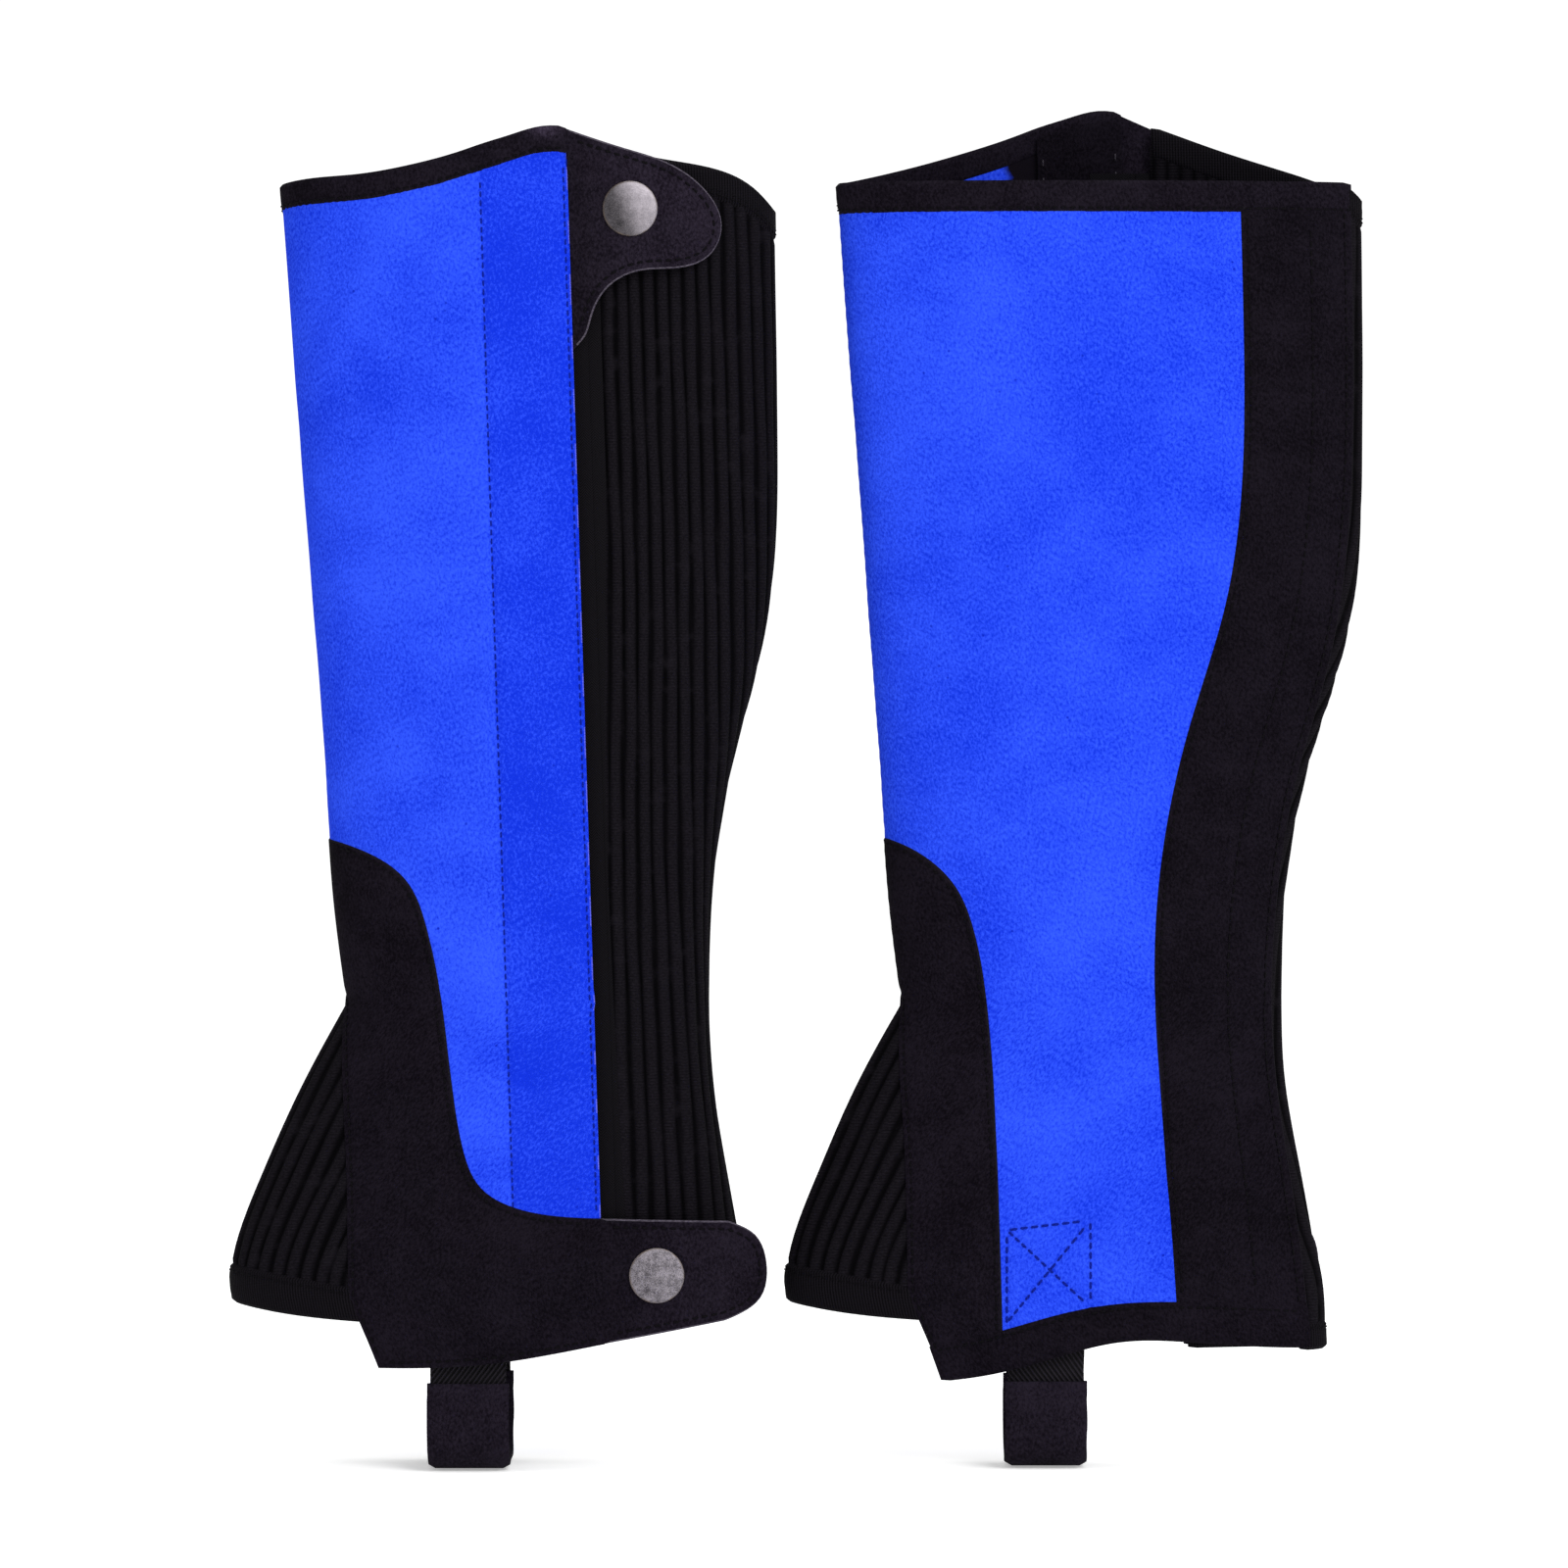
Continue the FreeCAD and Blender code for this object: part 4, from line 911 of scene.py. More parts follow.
class Builder:
    def __init__(self, g):
        self.g = g
        self.nose = g.shell.chart("nose", -200.0, 200.0)
        self.rear = g.sunk.chart("heel", -130.0, 130.0)
        self.ribs = RibMap(g)
        self.blue, self.black, self.fixed, self.pale = Stitches(), Stitches(), Stitches(), Stitches()

    def add(self, piece, slot, nodes, body=None, bend=None):
        node = lambda name: self.g.side + "_" + name
        for name in nodes:
            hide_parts(node(name))
        if body:
            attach(piece, node(body))
        else:
            node(bend[0])
            node(bend[1])
            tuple(bend[2])
            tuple(bend[3])
            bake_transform(piece)

    def placket_bend(self, depth=0.0, steep=2.2):
        """Shell and flap names with two points on the line of the fold between the leg and the flap."""
        g, reach, z = self.g, 8.0, 230.0
        start = g.world([placket_x(z) - reach, -g.half + depth, z])
        size = 2 * reach / (1 + steep ** 2 + LEAN ** 2)
        step = np.array([1, -steep * g.mirror, LEAN]) * size * 0.001
        return "shell", "flap", tuple(start), tuple(start + step)

    def tab_bend(self, tab, z):
        """Flap and tab names with two points on a line just behind the flap's free edge."""
        start = self.g.world([free_x(z) - 0.5, -self.g.half, z])
        turn = 0.007 if tab == "top_tab" else 0.003
        return "flap", tab, tuple(start), tuple(start + np.array([1, 0, LEAN]) * turn)

    def outer_line(self, line, back=0.0):
        """Outer-side line from the nose to just behind the free edge, in the nose chart."""
        c = curve(line)
        u = c[:, 0] - free_x(c[:, 1]) - back
        last = np.flatnonzero(u < 0)[-1]
        if last + 1 < len(c):
            w = u[last] / (u[last] - u[last + 1])
            c = np.vstack([c[:last + 1], c[last] * (1 - w) + c[last + 1] * w])
        return self.nose.outer(c)

    def free_line(self, z_low, z_high, u=0.0):
        z = np.linspace(z_low, z_high, 60)
        return self.nose.outer(np.stack([free_x(z) + u, z], 1))

    def inner_seam(self, line, dx):
        return self.nose.inner(curve(shift(self.g.points(line), dx, 0)))

    def tone(self, flat):
        """Painted light on the blue suede: painted shade darkens the flap strip, a painted highlight lightens raised
        folds, and the left gaiter is a little lighter than the right.
        """
        xyz = self.nose.place(flat, np.zeros(len(flat)))
        x, y, z = xyz.T
        # Painted highlight: the higher a fold stands, the lighter its suede.
        rub_wear_and_fold_highlight = folds(self.g, x, y, z)
        # Painted shade on the flap strip between the placket and the free edge.
        strip = smooth(x, placket_x(z) - 1.0, placket_x(z) + 0.6) * (y < 0)
        tone = 0.03 * self.g.mirror - 0.4 * strip + 0.35 * rub_wear_and_fold_highlight
        return tone, tone

    def lining(self, flat):
        """Black tape on the inside, in front of the placket."""
        xyz = self.nose.place(flat, np.zeros(len(flat)))
        x, y, z = xyz.T
        return 0 * x, ((x > placket_x(z) - 10.0) & (y < 0)).astype(float)

    def panel(self):
        """Blue suede from the calf seam round the front to the flap's free edge, in one cut."""
        g, c = self.g, self.nose
        top = self.outer_line(shift(g.crowned(TOP), 0, 3 - BAND_OUT))
        low = self.outer_line(shift(PATCH_OUT, -1.6, -2.4))
        calf, inner_top = self.inner_seam(CALF, 2.5), c.inner(level(g, BAND_IN - 3))
        patch = c.inner(curve(shift(PATCH_IN, -2.4, -2.4)))
        hem = c.inner(curve(shift(g.lifted(HEM_TOP), 0, -3)))
        inner_top = trim(inner_top, None, calf)
        calf = trim(calf, inner_top, hem)
        hem = trim(hem, patch, calf)[::-1]
        patch = trim(patch, None, hem)[::-1]
        loop = closed(top[::-1], inner_top, calf, hem, patch, low, self.free_line(low[-1, 1], top[-1, 1]))
        placket = c.outer(strip_outline(placket_x, 86.0, 424.0 + 0.8 * g.crown))
        edge = self.free_line(85.0, 428.0 + 0.8 * g.crown, -1.3)
        x0, x1, z0, z1 = -7.6, 19.8, 53.4, 82.0
        box = [((x0, z0 - 6), (x0, z1 - 3.2)), ((x0, z1 - 3.2), (x1, z1)), ((x1, z1), (x1, z0)),
               ((x0, z1 - 3.2), (x1, z0)), ((x0, z0 - 5), (x1, z1))]
        box = [c.inner(np.linspace(a, b, 30)) for a, b in box]
        # tone paints shade on the flap strip and highlights on raised folds.
        piece = sheet(g, "panel", c.place, loop, 0.0, SKIN, [BLUE, LILAC, BLUE], grooves=[placket, edge] + box,
                      soft=0.35, bevel=0.35, values={"tone": self.tone, "lining": self.lining})
        self.add(piece, "blue_suede", ["main_panel", "zip_flap"], bend=self.placket_bend())
        self.blue.add(c.place, placket, 0.15, 2.9, 1.9, 0.27)
        self.blue.add(c.place, edge, 0.15, 2.9, 1.9, 0.27)
        for line in box:
            self.blue.add(c.place, line, 0.1, 3.3, 2.3, 0.42)

    def top_band(self):
        g, c = self.g, self.nose
        top = g.crowned(TOP)
        high, low = self.outer_line(top), self.outer_line(shift(top, 0, -BAND_OUT))
        seam = self.inner_seam(REAR, 1.5)
        up, down, stitch_in = (trim(c.inner(level(g, drop)), None, seam) for drop in (0, BAND_IN, BAND_IN - 1.3))
        stitch_out = self.outer_line(shift(top, 0, 1.3 - BAND_OUT), -1.0)

        def wear(flat):
            # Brightening, partly wear and partly painted light from above; a much lighter spot sits at the left
            # gaiter's peak just behind the free edge.
            spot = bump(flat[:, 1], 438.6, 2.6) * bump(flat[:, 0], high[-1, 0] + 7.0, 5.0) * (g.mirror > 0)
            value = 0.25 + 3.0 * spot
            return value, value

        piece = sheet(g, "top_band", c.place, closed(high[::-1], up, down[::-1], low), -PROUD, 1.75, [BLACK] * 3,
                      step=2.4, fold=0.7, grooves=[stitch_out, stitch_in], soft=0.45, crisp=self.free_line(420, 450),
                      values={"wear": wear})
        bend = self.placket_bend(steep=90.0 / g.half)
        self.add(piece, "black_suede", ["top_binding", "flap_binding"], bend=bend)
        for line in (stitch_out, stitch_in):
            self.black.add(c.place, line, -PROUD + 0.1, 2.9, 1.9, 0.36)

    def ankle_patch(self):
        g, c = self.g, self.nose
        front = np.concatenate([curve(FRONT_SEAM), curve(FRONT_CORNER)[1:]])
        top_out, hem_out, seam_out = self.outer_line(PATCH_OUT), self.outer_line(HEM_OUT), c.outer(front)
        top_in, hem_in, seam_in = c.inner(curve(PATCH_IN)), c.inner(curve(HEM_IN)), c.inner(front)
        hem_out = trim(hem_out, seam_out, None)
        seam_out = trim(seam_out, None, hem_out)
        hem_in = trim(hem_in, seam_in, top_in)
        seam_in, top_in = trim(seam_in, None, hem_in), trim(top_in, None, hem_in)
        free = self.free_line(hem_out[-1, 1], top_out[-1, 1])
        loop = closed(top_out, free[::-1], hem_out[::-1], seam_out[::-1], seam_in, hem_in, top_in[::-1])
        crease = c.outer(strip_outline(placket_x, 38.0, 86.0))
        lines = [offset(top_out, 1.8)[3:-3], offset(top_in, -1.8)[3:-6], offset(seam_out, -1.8)[8:-6],
                 offset(seam_in, 1.8)[8:-6], hem_out[6:] + (0, 2.0)]
        piece = sheet(g, "ankle_patch", c.place, loop, -PROUD, 1.5, [BLACK, DULL, BLACK], grooves=[crease] + lines,
                      soft=0.35, crisp=free, values={"wear": 0.15})
        self.add(piece, "black_suede", ["ankle_patch", "flap_foot"], bend=self.placket_bend())
        for line in lines:
            self.black.add(c.place, line, -PROUD + 0.1, 3.1, 2.0, 0.38)

    def calf_panel(self):
        g, c = self.g, self.nose
        front, rear = self.inner_seam(CALF, 0), self.inner_seam(REAR, 1.5)
        top = trim(c.inner(level(g, BAND_IN - 3)), front, rear)
        hem = trim(c.inner(curve(shift(g.lifted(HEM_TOP), 0, -3))), front, rear)
        front, rear = trim(front, top, hem), trim(rear, top, hem)
        a, b = resample(front, 4), resample(rear, 4)
        n = min(len(a), len(b)) - 2
        lines = [trim(self.inner_seam(CALF, 2.0)[6:-10], top + (0, -4), hem + (0, 4)), a[2:n] * 0.4 + b[2:n] * 0.6,
                 offset(rear, -3.2)[4:-4]]
        piece = sheet(g, "calf_panel", c.place, closed(top, rear, hem[::-1], front[::-1]), -0.3, 1.5,
                      [BLACK, DULL, BLACK], grooves=lines, values={"wear": 0.08})
        self.add(piece, "black_suede", ["calf_panel"], body="shell")
        for line in lines:
            self.fixed.add(c.place, line, -0.2, 3.1, 2.0, 0.36)

    def hem_band(self):
        g, c = self.g, self.nose
        seam = c.inner(np.concatenate([curve(FRONT_SEAM), curve(FRONT_CORNER)[1:]]))
        top, low = (trim(c.inner(curve(g.lifted(line))), seam, self.inner_seam(REAR, 1.5)) for line in (HEM_TOP, HEM_IN))
        line = top[3:-3] + (0, -1.5)
        piece = sheet(g, "hem_band", c.place, closed(top, low[::-1]), -0.85, 1.8, [BLACK] * 3, step=2.4, fold=0.6,
                      grooves=[line], soft=0.45, values={"wear": 0.1})
        self.add(piece, "black_suede", ["hem_binding"], body="shell")
        self.fixed.add(c.place, line, -0.75, 2.9, 1.9, 0.36)

    def heel_run(self, out, inn, front):
        """Line from the inner rear seam round the heel to the zip, in the heel chart."""
        c = self.rear
        out = by_distance(trim(c.outer(curve(out)), front, None))
        inn = by_distance(trim(c.inner(curve(inn)), c.inner(curve(shift(self.g.points(REAR), -0.8, 0))), None))
        middle = (inn[-1, 1] + out[0, 1]) / 2
        inn[:, 1] += (middle - inn[-1, 1]) * smooth(inn[:, 0], inn[0, 0], inn[-1, 0])
        out[:, 1] += (middle - out[0, 1]) * smooth(-out[:, 0], -out[-1, 0], -out[0, 0])
        return np.concatenate([inn, out[1:]])

    def heel_line(self, kind, rise, front):
        g = self.g
        if kind == "rim":
            rim = RIM_LEFT if g.mirror > 0 else RIM_RIGHT
            pair = g.points(g.crowned(rim)), g.points(g.rim_inner)
        else:
            pair = g.lifted(STRETCH_HEM), g.lifted(HEM_IN)
        return self.heel_run(shift(pair[0], 0, rise), shift(pair[1], 0, rise), front)

    def heel_band(self, name, nodes, kind, rise, fall, stitches, depths):
        front = self.rear.outer(strip_outline(lambda z: free_x(z) + FLAT + 0.6, 20.0, 445.0))
        high, low = (self.heel_line(kind, step, front) for step in (rise, fall))
        lines = [self.heel_line(kind, step, front)[4:-4] for step in stitches]
        piece = sheet(self.g, name, self.rear.place, closed(high, low[::-1]), depths[0], depths[1], [WOVEN] * 3,
                      step=2.2, fold=0.6, grooves=lines[:1], soft=0.45)
        self.add(piece, "woven_elastic", nodes, body="shell")
        for line in lines:
            self.fixed.add(self.rear.place, line, depths[0] + 0.12, 2.6, 1.8, 0.22)

    def stretch_panel(self):
        g, c, r = self.g, self.rear, self.ribs
        strip = c.outer(strip_outline(lambda z: free_x(z) + TAPE_EDGE(z), 30.0, 444.0))
        top, hem = self.heel_line("rim", 3 - RIM, strip), self.heel_line("hem", 0.0, strip)
        seam = trim(c.inner(curve(shift(g.points(REAR), -1.5, 0))), top, hem)
        strip = trim(strip, top, hem)
        strip = strip if strip[0, 1] > strip[-1, 1] else strip[::-1]
        seam = seam if seam[0, 1] < seam[-1, 1] else seam[::-1]
        loop = closed(top, strip, hem[::-1], seam, step=1.2)
        q = np.stack([r.numbers(loop), loop[:, 1]], 1)

        def place(p, depth):
            return c.place(r.chart_points(p), depth)

        def relief(p):
            xyz = c.place(r.chart_points(p), np.zeros(len(p)))
            lift = (1 - smooth(xyz[:, 0] - free_x(xyz[:, 2]), 6.5, 10.5)) * (xyz[:, 1] < 0)
            height = rib_height(p[:, 0], p[:, 1]) * np.minimum(1.0, near_line(p, ring(q)) / 0.5)
            crown, depth = -0.62 * lift, 1.05 - 0.5 * lift
            top = crown + depth * (1 - height)
            return top, np.maximum(top + 0.25, crown + depth + 0.12 + 0.25 * (1 - lift))

        self.add(rib_sheet(g, "stretch_panel", place, q, relief), "ribbed_elastic", ["stretch_panel"], body="shell")

    def gusset(self):
        g, c = self.g, self.nose
        whole = np.concatenate([curve(FRONT_SEAM), curve(FRONT_CORNER)[1:]]) + (2.5, 0)
        low = curve(shift(GUSSET_TOP, 0, -3))
        sides = []
        for turn in (c.outer, c.inner):
            seam, base = turn(whole), turn(low)
            base = by_distance(trim(base, None, seam))
            sides.append((trim(seam, None, base), base))
        (seam_out, low_out), (seam_in, low_in) = sides
        loop = closed(seam_out[::-1], seam_in, low_in[::-1], low_out[::-1], step=1.2)

        def size(z):
            return 4.64 * (1 + 0.0045 * np.clip(z - 30, 0, 130))

        q = np.stack([loop[:, 0] / size(loop[:, 1]), loop[:, 1]], 1)

        def place(p, depth):
            return c.place(np.stack([p[:, 0] * size(p[:, 1]), p[:, 1]], 1), depth)

        def relief(p):
            height = rib_height(p[:, 0] + 0.5, p[:, 1]) * np.minimum(1.0, near_line(p, ring(q)) / 0.5)
            return 0.15 + 1.0 * (1 - height), np.full(len(p), 1.5)

        self.add(rib_sheet(g, "gusset", place, q, relief), "ribbed_elastic", ["instep_gusset"], body="shell")

    def gusset_band(self):
        g, c = self.g, self.nose
        whole = np.concatenate([curve(FRONT_SEAM)[:-1], curve(FRONT_CORNER)]) + (2.0, 0)
        runs = []
        for line in (GUSSET_TOP, GUSSET_HEM):
            a, b = (by_distance(trim(turn(curve(line)), None, turn(whole))) for turn in (c.outer, c.inner))
            runs.append(np.concatenate([a, b[1:]]))
        line = runs[0][6:-6] + (0, -1.6)
        piece = sheet(g, "gusset_band", c.place, closed(runs[0], runs[1][::-1]), -0.3, 1.75, [WOVEN] * 3, step=2.2,
                      fold=0.6, grooves=[line], soft=0.45)
        self.add(piece, "woven_elastic", ["gusset_binding"], body="shell")
        self.fixed.add(c.place, line, -0.2, 2.8, 1.9, 0.22)

    def facing(self):
        g, c = self.g, self.nose
        side = c.outer(strip_outline(lambda z: placket_x(z) + 0.3, 20.0, 449.0))
        top, low = (by_distance(trim(self.outer_line(line, -0.5), side, None))
                    for line in (shift(g.crowned(TOP), 0, -3), shift(HEM_OUT, 0, 2.5)))
        side = trim(side, top, low)
        side = side if side[0, 1] < side[-1, 1] else side[::-1]
        free = self.free_line(low[0, 1], top[0, 1], -0.05)
        loop = closed(side, top[::-1], free[::-1], low)
        lines = [side + (-1.8, 0), self.free_line(low[0, 1] + 3, top[0, 1] - 3, -2.4)]
        piece = sheet(g, "facing", c.place, loop, SKIN + 0.12, 3.45, [TAPE, TAPE, BLACK], soft=0.2)
        self.add(piece, "black_suede", ["flap_facing"], bend=self.placket_bend(2.4))
        for line in lines:
            self.pale.add(c.place, line, 3.5, 6.0, 2.2, 0.25, rise=-0.12)

    def tapes(self):
        """Zip tapes; the front one laps over the rear one, as they do when the zip is shut."""
        g = self.g
        z = np.linspace(49.0, 426.5, 120)

        def place(p, depth):
            return np.stack([free_x(p[:, 1]) + p[:, 0], -g.half + depth + 0 * p[:, 0], p[:, 1]], 1)

        for name, near, u0, u1, body in (("tape_front", 3.5, -11.0, 4.9 + 0 * z, "flap"),
                                         ("tape_rear", 3.88, 4.2, np.minimum(TAPE_EDGE(z) + 1.0, 9.3), "shell")):
            a, b = np.stack([u0 + 0 * z, z], 1), np.stack([u1, z], 1)
            loop = closed(a, np.array([a[-1], b[-1]]), b[::-1], np.array([b[0], a[0]]))
            piece = sheet(g, name, place, loop, near, near + 0.3, [TAPE] * 3, step=3.5, soft=0.08)
            self.add(piece, "zip_tape", ["zip_" + name], body=body)

    def tab(self, name, outline, root, snap, bend_axis, z_bend, colour, wear, tuck):
        g = self.g
        start = free_x(snap[1]) + FLAT

        def place(p, depth):
            x = p[:, 0]
            over = np.clip((x - start) / bend_axis, 0, 0.999)
            d = depth - 0.35 * smooth(x, start, start + 45)
            bx = np.where(x > start, start + (bend_axis - d) * over, x)
            return np.stack([bx, -(g.half - d) * np.sqrt(1 - over ** 2), p[:, 1]], 1)

        def relief(p, top, low):
            """Beside the blue suede the root lies under its edge; elsewhere it is level with the band."""
            u = p[:, 0] - free_x(p[:, 1])
            near = 1 - smooth(u, 0, 7)
            under = 1 - smooth(p[:, 1], 422.0 + g.crown, 429.0 + g.crown)
            sink = near * (1.2 * under if tuck else -0.1) - 0.1 * near * (1 - under)
            return top + sink, low + sink

        # Brightening, partly wear and partly painted light: lighter away from the flap's edge toward the tip.
        def brightened(p):
            value = wear[0] + (wear[1] - wear[0]) * smooth(p[:, 0] - free_x(p[:, 1]), 0.0, 22.0)
            return value, value

        around = np.linspace(0, 2 * math.pi, 17)[:-1]
        hole = np.stack([snap[0] + 1.5 * np.cos(around), snap[1] + 1.5 * np.sin(around)], 1)
        loop = closed(outline, root, step=2.0)
        inset = offset(resample(outline, 1.0), -2.7)
        inset = inset[inset[:, 0] > free_x(inset[:, 1]) + 2.0]
        piece = sheet(g, name, place, loop, TAB_OUT, TAB_BACK, [BLACK, PALE, BLACK], step=2.6, holes=[hole],
                      grooves=[inset], soft=0.45, crisp=resample(root, 2.0), relief=relief, values={"wear": brightened})
        self.add(piece, "black_suede", [name], bend=self.tab_bend(name, z_bend))
        s = Stitches()
        s.add(place, inset, TAB_OUT + 0.08, 3.1, 2.0, 0.38)
        self.add(s.piece(g, name + "_stitches", colour), "black_suede", [], bend=self.tab_bend(name, z_bend))

    def tabs(self):
        g = self.g
        room = [float(g.back(np.array(x), z)) - free_x(z) - FLAT for x, z in ((99.5, 412.5), (89.6, 64.6))]
        top = g.crowned([(free_x(438.5), 438.5)])[0][1]
        outline = curve([(free_x(top), top)] + g.crowned(TOP_TAB) + [(free_x(366.6), 366.6)])
        # The top tab is brightened more than the foot tab: partly painted light from above.
        self.tab("top_tab", outline, outline[[-1, 0]], TOP_SNAP, room[0] + 2.0, 402.0, BLACK_THREAD, (0.4, 0.9), True)
        a, b = (free_x(83.2), 83.2), (free_x(42.3), 42.3)
        outline = np.concatenate([resample(np.array([a, FOOT_EDGE[0]]), 1.5)[:-1], curve(FOOT_EDGE),
                                  resample(np.array([FOOT_EDGE[-1], b]), 1.5)[1:]])
        self.tab("foot_tab", outline, outline[[-1, 0]], FOOT_SNAP, room[1] + 20.0, 62.0, BLACK_THREAD, (0.15, 0.5), False)

    def strap(self):
        g = self.g
        reach, radius, low = g.half - 6.0, 10.2, 2.3

        def path(top):
            """Middle line of a band under the foot, in (y, z)."""
            turn = [(-reach + radius - radius * math.cos(a), low + radius - radius * math.sin(a))
                    for a in np.linspace(0, math.pi / 2, 12)]
            half = [(-reach, z) for z in np.arange(top, low + radius, -2.0)] + turn
            flat = [(v, low) for v in np.linspace(radius - reach, reach - radius, 12)[1:-1]]
            return np.array(half + flat + [(-v, z) for v, z in half[::-1]])

        def band(name, half_x, thick, top, materials, hollow=0.0):
            p = path(top)
            t = np.concatenate([[0], np.cumsum(np.hypot(*np.diff(p, axis=0).T))])
            d = np.gradient(p, axis=0)
            n = np.stack([d[:, 1], -d[:, 0]], 1) / np.hypot(*d.T)[:, None]
            across = np.concatenate([np.linspace(-1, 1, 13), np.linspace(1, -1, 13)])
            side = np.repeat([1.0, -1.0], 13) * np.where(np.abs(across) > 0.99, 0.45, 1.0)
            skins = [(across * half_x, side * thick / 2)]
            if hollow:
                skins.append((across * (half_x - 1.0), side * hollow / 2))
            verts, faces, uvs, kinds = [], [], [], []
            m, count = 26, len(p)
            for xs, ds in skins:
                for k in range(count):
                    sway = 0.12 * math.sin(p[k, 1] / 6.0 + k * 0.4) * (p[k, 1] < top - 4)
                    for x, depth in zip(xs, ds):
                        y, z = p[k] - n[k] * depth
                        verts.append((g.strap + x + sway, y, max(z, 0.0)))
                        uvs.append((x, t[k] + (300 if depth < 0 else 0)))
            for r in range(len(skins)):
                for k in range(count - 1):
                    for j in range(m):
                        a, b = (r * count + k) * m + j, (r * count + k) * m + (j + 1) % m
                        faces.append([a, b, b + m, a + m] if r == 0 else [a + m, b + m, b, a])
            kinds = [0] * len(faces)
            for k in (0, count - 1):
                if hollow:
                    pairs = [(k * m + j, k * m + (j + 1) % m) for j in range(m)]
                    caps = [[a, b, b + m * count, a + m * count] for a, b in pairs]
                else:
                    caps = [[k * m + j for j in range(m)]]
                faces += [cap if k else cap[::-1] for cap in caps]
                kinds += [1] * len(caps)
            brightened = np.full(len(verts), 0.55)
            return build(g, name, np.array(verts), faces, np.array(uvs), kinds, materials, {"wear": brightened}), p, t, n

        piece = band("strap_webbing", 12.4, 1.6, 82.0, [TWILL, TWILL])[0]
        x = (g.x0 + g.strap) * 0.001
        self.add(piece, "webbing", ["strap_webbing", "strap_anchors"], bend=("shell", "strap", (x, 0, 0.046), (x, 0, 0.032)))
        piece, p, t, n = band("strap_sleeve", 13.4, 4.5, 28.8, [BLACK, DULL], hollow=1.9)
        self.add(piece, "black_suede", ["strap_sleeve"], body="strap")

        def place(q, depth):
            y, z, ny, nz = (np.interp(q[:, 1], t, part) for part in (*p.T, *n.T))
            return np.stack([g.strap + q[:, 0], y - ny * depth, z - nz * depth], 1)

        seam = Stitches()
        seam.add(place, np.array([(0.0, 1.0), (0.0, t[-1] - 1.0)]), 2.25, 2.6, 1.8, 0.36)
        self.add(seam.piece(g, "strap_stitches", BLACK_THREAD), "black_suede", [], body="strap")

    def everything(self):
        self.panel()
        self.top_band()
        self.ankle_patch()
        self.calf_panel()
        self.hem_band()
        self.stretch_panel()
        self.gusset()
        self.gusset_band()
        self.heel_band("rim_elastic", ["rim_elastic"], "rim", 0.0, -RIM, (1.2 - RIM, 2.6 - RIM), (-0.4, 1.7))
        self.heel_band("heel_hem", [], "hem", 7.2, -0.8, (5.8,), (-0.5, 1.9))
        self.facing()
        self.tapes()
        self.tabs()
        self.strap()
        g, bend = self.g, self.placket_bend()
        self.add(self.blue.piece(g, "blue_stitches", BLUE_THREAD), "blue_suede", [], bend=bend)
        bend = self.placket_bend(steep=90.0 / g.half)
        self.add(self.black.piece(g, "front_stitches", BLACK_THREAD), "black_suede", [], bend=bend)
        self.add(self.fixed.piece(g, "rear_stitches", BLACK_THREAD), "black_suede", [], body="shell")
        self.add(self.pale.piece(g, "facing_stitches", PALE_THREAD), "black_suede", [], bend=self.placket_bend(2.4))
        self.hard_pieces()

    def hard_pieces(self):
        for name in ("zip_row_front", "zip_row_rear", "zip_box"):
            paint(self.g.side + "_" + name, PLASTIC)
        for name, radius in (("top_cap", 9.0), ("foot_cap", 9.0), ("top_socket", 6.0), ("foot_socket", 6.0),
                             ("snap_studs", 30.0), ("zip_slider", 30.0), ("zip_pull", 30.0)):
            node = self.g.side + "_" + name
            lo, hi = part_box(node)
            # How strong the painted highlight and shade are on each metal piece: strong on the top cap, faint
            # elsewhere.
            dome = 0.75 if name == "top_cap" else 0.12
            paint(node, gunmetal(node + "_metal", tuple((lo + hi) / 2), radius * 0.001, dome))


def rib_sheet(g, name, place, loop, relief, row=4.0):
    """Sheet whose points follow its ribs; the loop is (rib number, height)."""
    scale = (1.0, 1.0 / (8 * row))
    lo, hi = loop.min(axis=0), loop.max(axis=0)
    points = rib_points(lo[0], hi[0], lo[1], hi[1])
    keep = inside_loop(points, loop) & (near_line(points * scale, ring(loop) * scale) > 0.05)
    flat = np.concatenate([loop, points[keep]])
    tris = triangulate(flat, [loop], scale)
    n, m = len(flat), len(loop)
    top_depth, low_depth = relief(flat)
    top, low = place(flat, top_depth), place(flat, low_depth)
    normal = np.cross(top[tris[:, 1]] - top[tris[:, 0]], top[tris[:, 2]] - top[tris[:, 0]])
    inward = np.einsum("ij,ij->i", normal, (low - top)[tris[:, 0]]).sum() > 0
    a = tris[:, ::-1] if inward else tris
    faces = a.tolist() + (a[:, ::-1] + n).tolist()
    kinds = [0] * len(a) + [2] * len(a) + [1] * m
    turn = np.sum(loop[:, 0] * np.roll(loop[:, 1], -1) - np.roll(loop[:, 0], -1) * loop[:, 1]) > 0
    for j in range(m):
        p, q = (j, (j + 1) % m) if turn != inward else ((j + 1) % m, j)
        faces.append([p, n + p, n + q, q])
    uvs = np.concatenate([flat * (4.5, 1.0), flat * (4.5, 1.0) + (0, 500)])
    # Rib height, which the material also uses to paint shade into the grooves.
    rib = rib_height(flat[:, 0] + (0.5 if name == "gusset" else 0.0), flat[:, 1])
    return build(g, name, np.concatenate([top, low]), faces, uvs, kinds, [RIBBED, DULL, RIBBED],
                 {"rib": np.concatenate([rib, rib * 0.5 + 0.2])})


def paint(node, material):
    """Gives a CAD node its own procedural material without touching its mesh."""
    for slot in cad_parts[node].material_slots:
        slot.link = "OBJECT"
        slot.material = material


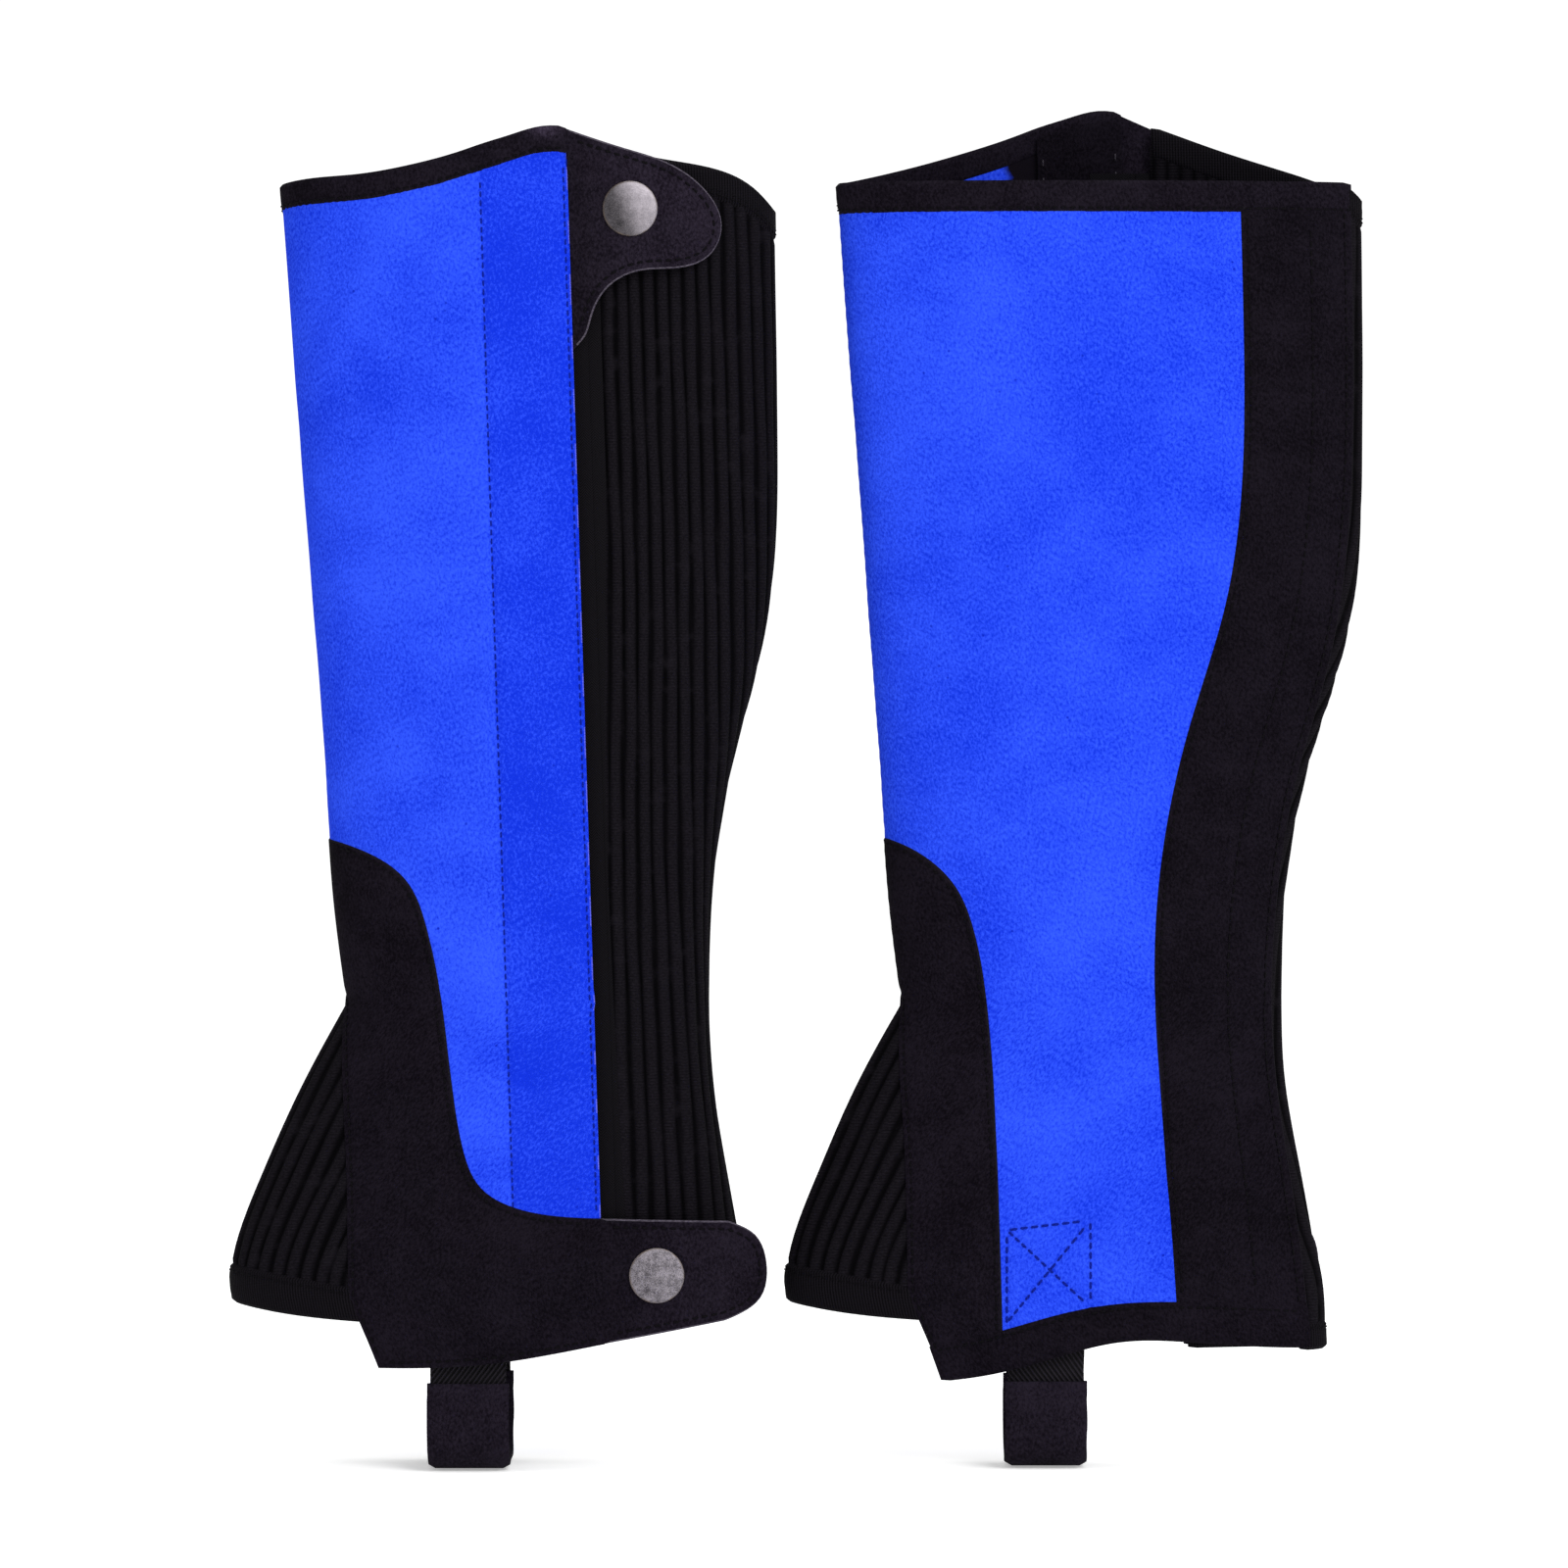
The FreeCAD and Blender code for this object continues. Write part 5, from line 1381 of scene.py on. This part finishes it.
for gaiter in (Gaiter("left", 1, 1.0, -1.0, 0.0, 12.0, RIM_ROUND), Gaiter("right", -1, 1.15, 5.5, 8.0, 0.0, RIM_FLAT)):
    Builder(gaiter).everything()

# ---- studio ----
scene = bpy.context.scene
lo, hi = cad_box
middle = (lo + hi) / 2


def floor():
    """Plain pale floor that reaches the horizon from every side."""
    reach = 12.0
    verts = [(-reach, -reach, -0.0005), (reach, -reach, -0.0005), (reach, reach, -0.0005), (-reach, reach, -0.0005)]
    mesh = bpy.data.meshes.new("floor")
    mesh.from_pydata(verts, [], [(0, 1, 2, 3)])
    s = Shader("paper")
    tooth = s.noise(s.place(), 60, 3)
    paper = s.mix(tooth, (0.88, 0.88, 0.88), (0.92, 0.92, 0.92))
    mesh.materials.append(s.finish(paper, 0.9, Specular_IOR_Level=0.1, Emission_Color=(1, 1, 1, 1),
                                   Emission_Strength=0.35))
    o = bpy.data.objects.new("floor", mesh)
    scene.collection.objects.link(o)


def area_light(name, place, size, power):
    data = bpy.data.lights.new(name, "AREA")
    data.shape, data.size, data.energy = "SQUARE", size, power
    o = bpy.data.objects.new(name, data)
    o.location = place
    o.rotation_euler = (middle - Vector(place)).to_track_quat("-Z", "Y").to_euler()
    scene.collection.objects.link(o)


def sky():
    """White to the camera; as a light it is brighter from the upper right."""
    world = bpy.data.worlds.new("studio")
    world.use_nodes = True
    tree = world.node_tree
    light = tree.nodes["Background"]
    where = tree.nodes.new("ShaderNodeTexCoord")
    side = tree.nodes.new("ShaderNodeVectorMath")
    side.operation = "DOT_PRODUCT"
    side.inputs[1].default_value = (0.70, -0.30, 0.65)
    tree.links.new(where.outputs["Generated"], side.inputs[0])
    power = tree.nodes.new("ShaderNodeMapRange")
    power.inputs["From Min"].default_value, power.inputs["From Max"].default_value = -0.7, 0.9
    power.inputs["To Min"].default_value, power.inputs["To Max"].default_value = 0.18, 1.08
    tree.links.new(side.outputs["Value"], power.inputs["Value"])
    seen = tree.nodes.new("ShaderNodeMix")
    seen.inputs["B"].default_value = 1.1
    tree.links.new(tree.nodes.new("ShaderNodeLightPath").outputs["Is Camera Ray"], seen.inputs["Factor"])
    tree.links.new(power.outputs[0], seen.inputs["A"])
    tree.links.new(seen.outputs[0], light.inputs["Strength"])
    light.inputs["Color"].default_value = (1, 1, 1, 1)
    scene.world = world


floor()
area_light("key", (0.9, -1.7, 1.5), 1.0, 29)
area_light("fill", (-1.6, -1.5, 0.8), 1.4, 6.3)
area_light("top", (0.0, 0.1, 1.9), 1.4, 11.7)
sky()
scene.view_settings.view_transform = "Standard"

lens = bpy.data.cameras.new("lens")
lens.lens, lens.sensor_width = 190, 36
camera = bpy.data.objects.new("camera", lens)
width = 0.512          # frame width at the gaiters' near faces
tilt = math.radians(1.0)
target = Vector((middle.x - 0.00385, -0.026, 0.225))
camera.location = target + Vector((0, -math.cos(tilt), math.sin(tilt))) * (width * lens.lens / lens.sensor_width)
camera.rotation_euler = (math.pi / 2 - tilt, 0, 0)
scene.collection.objects.link(camera)
scene.camera = camera
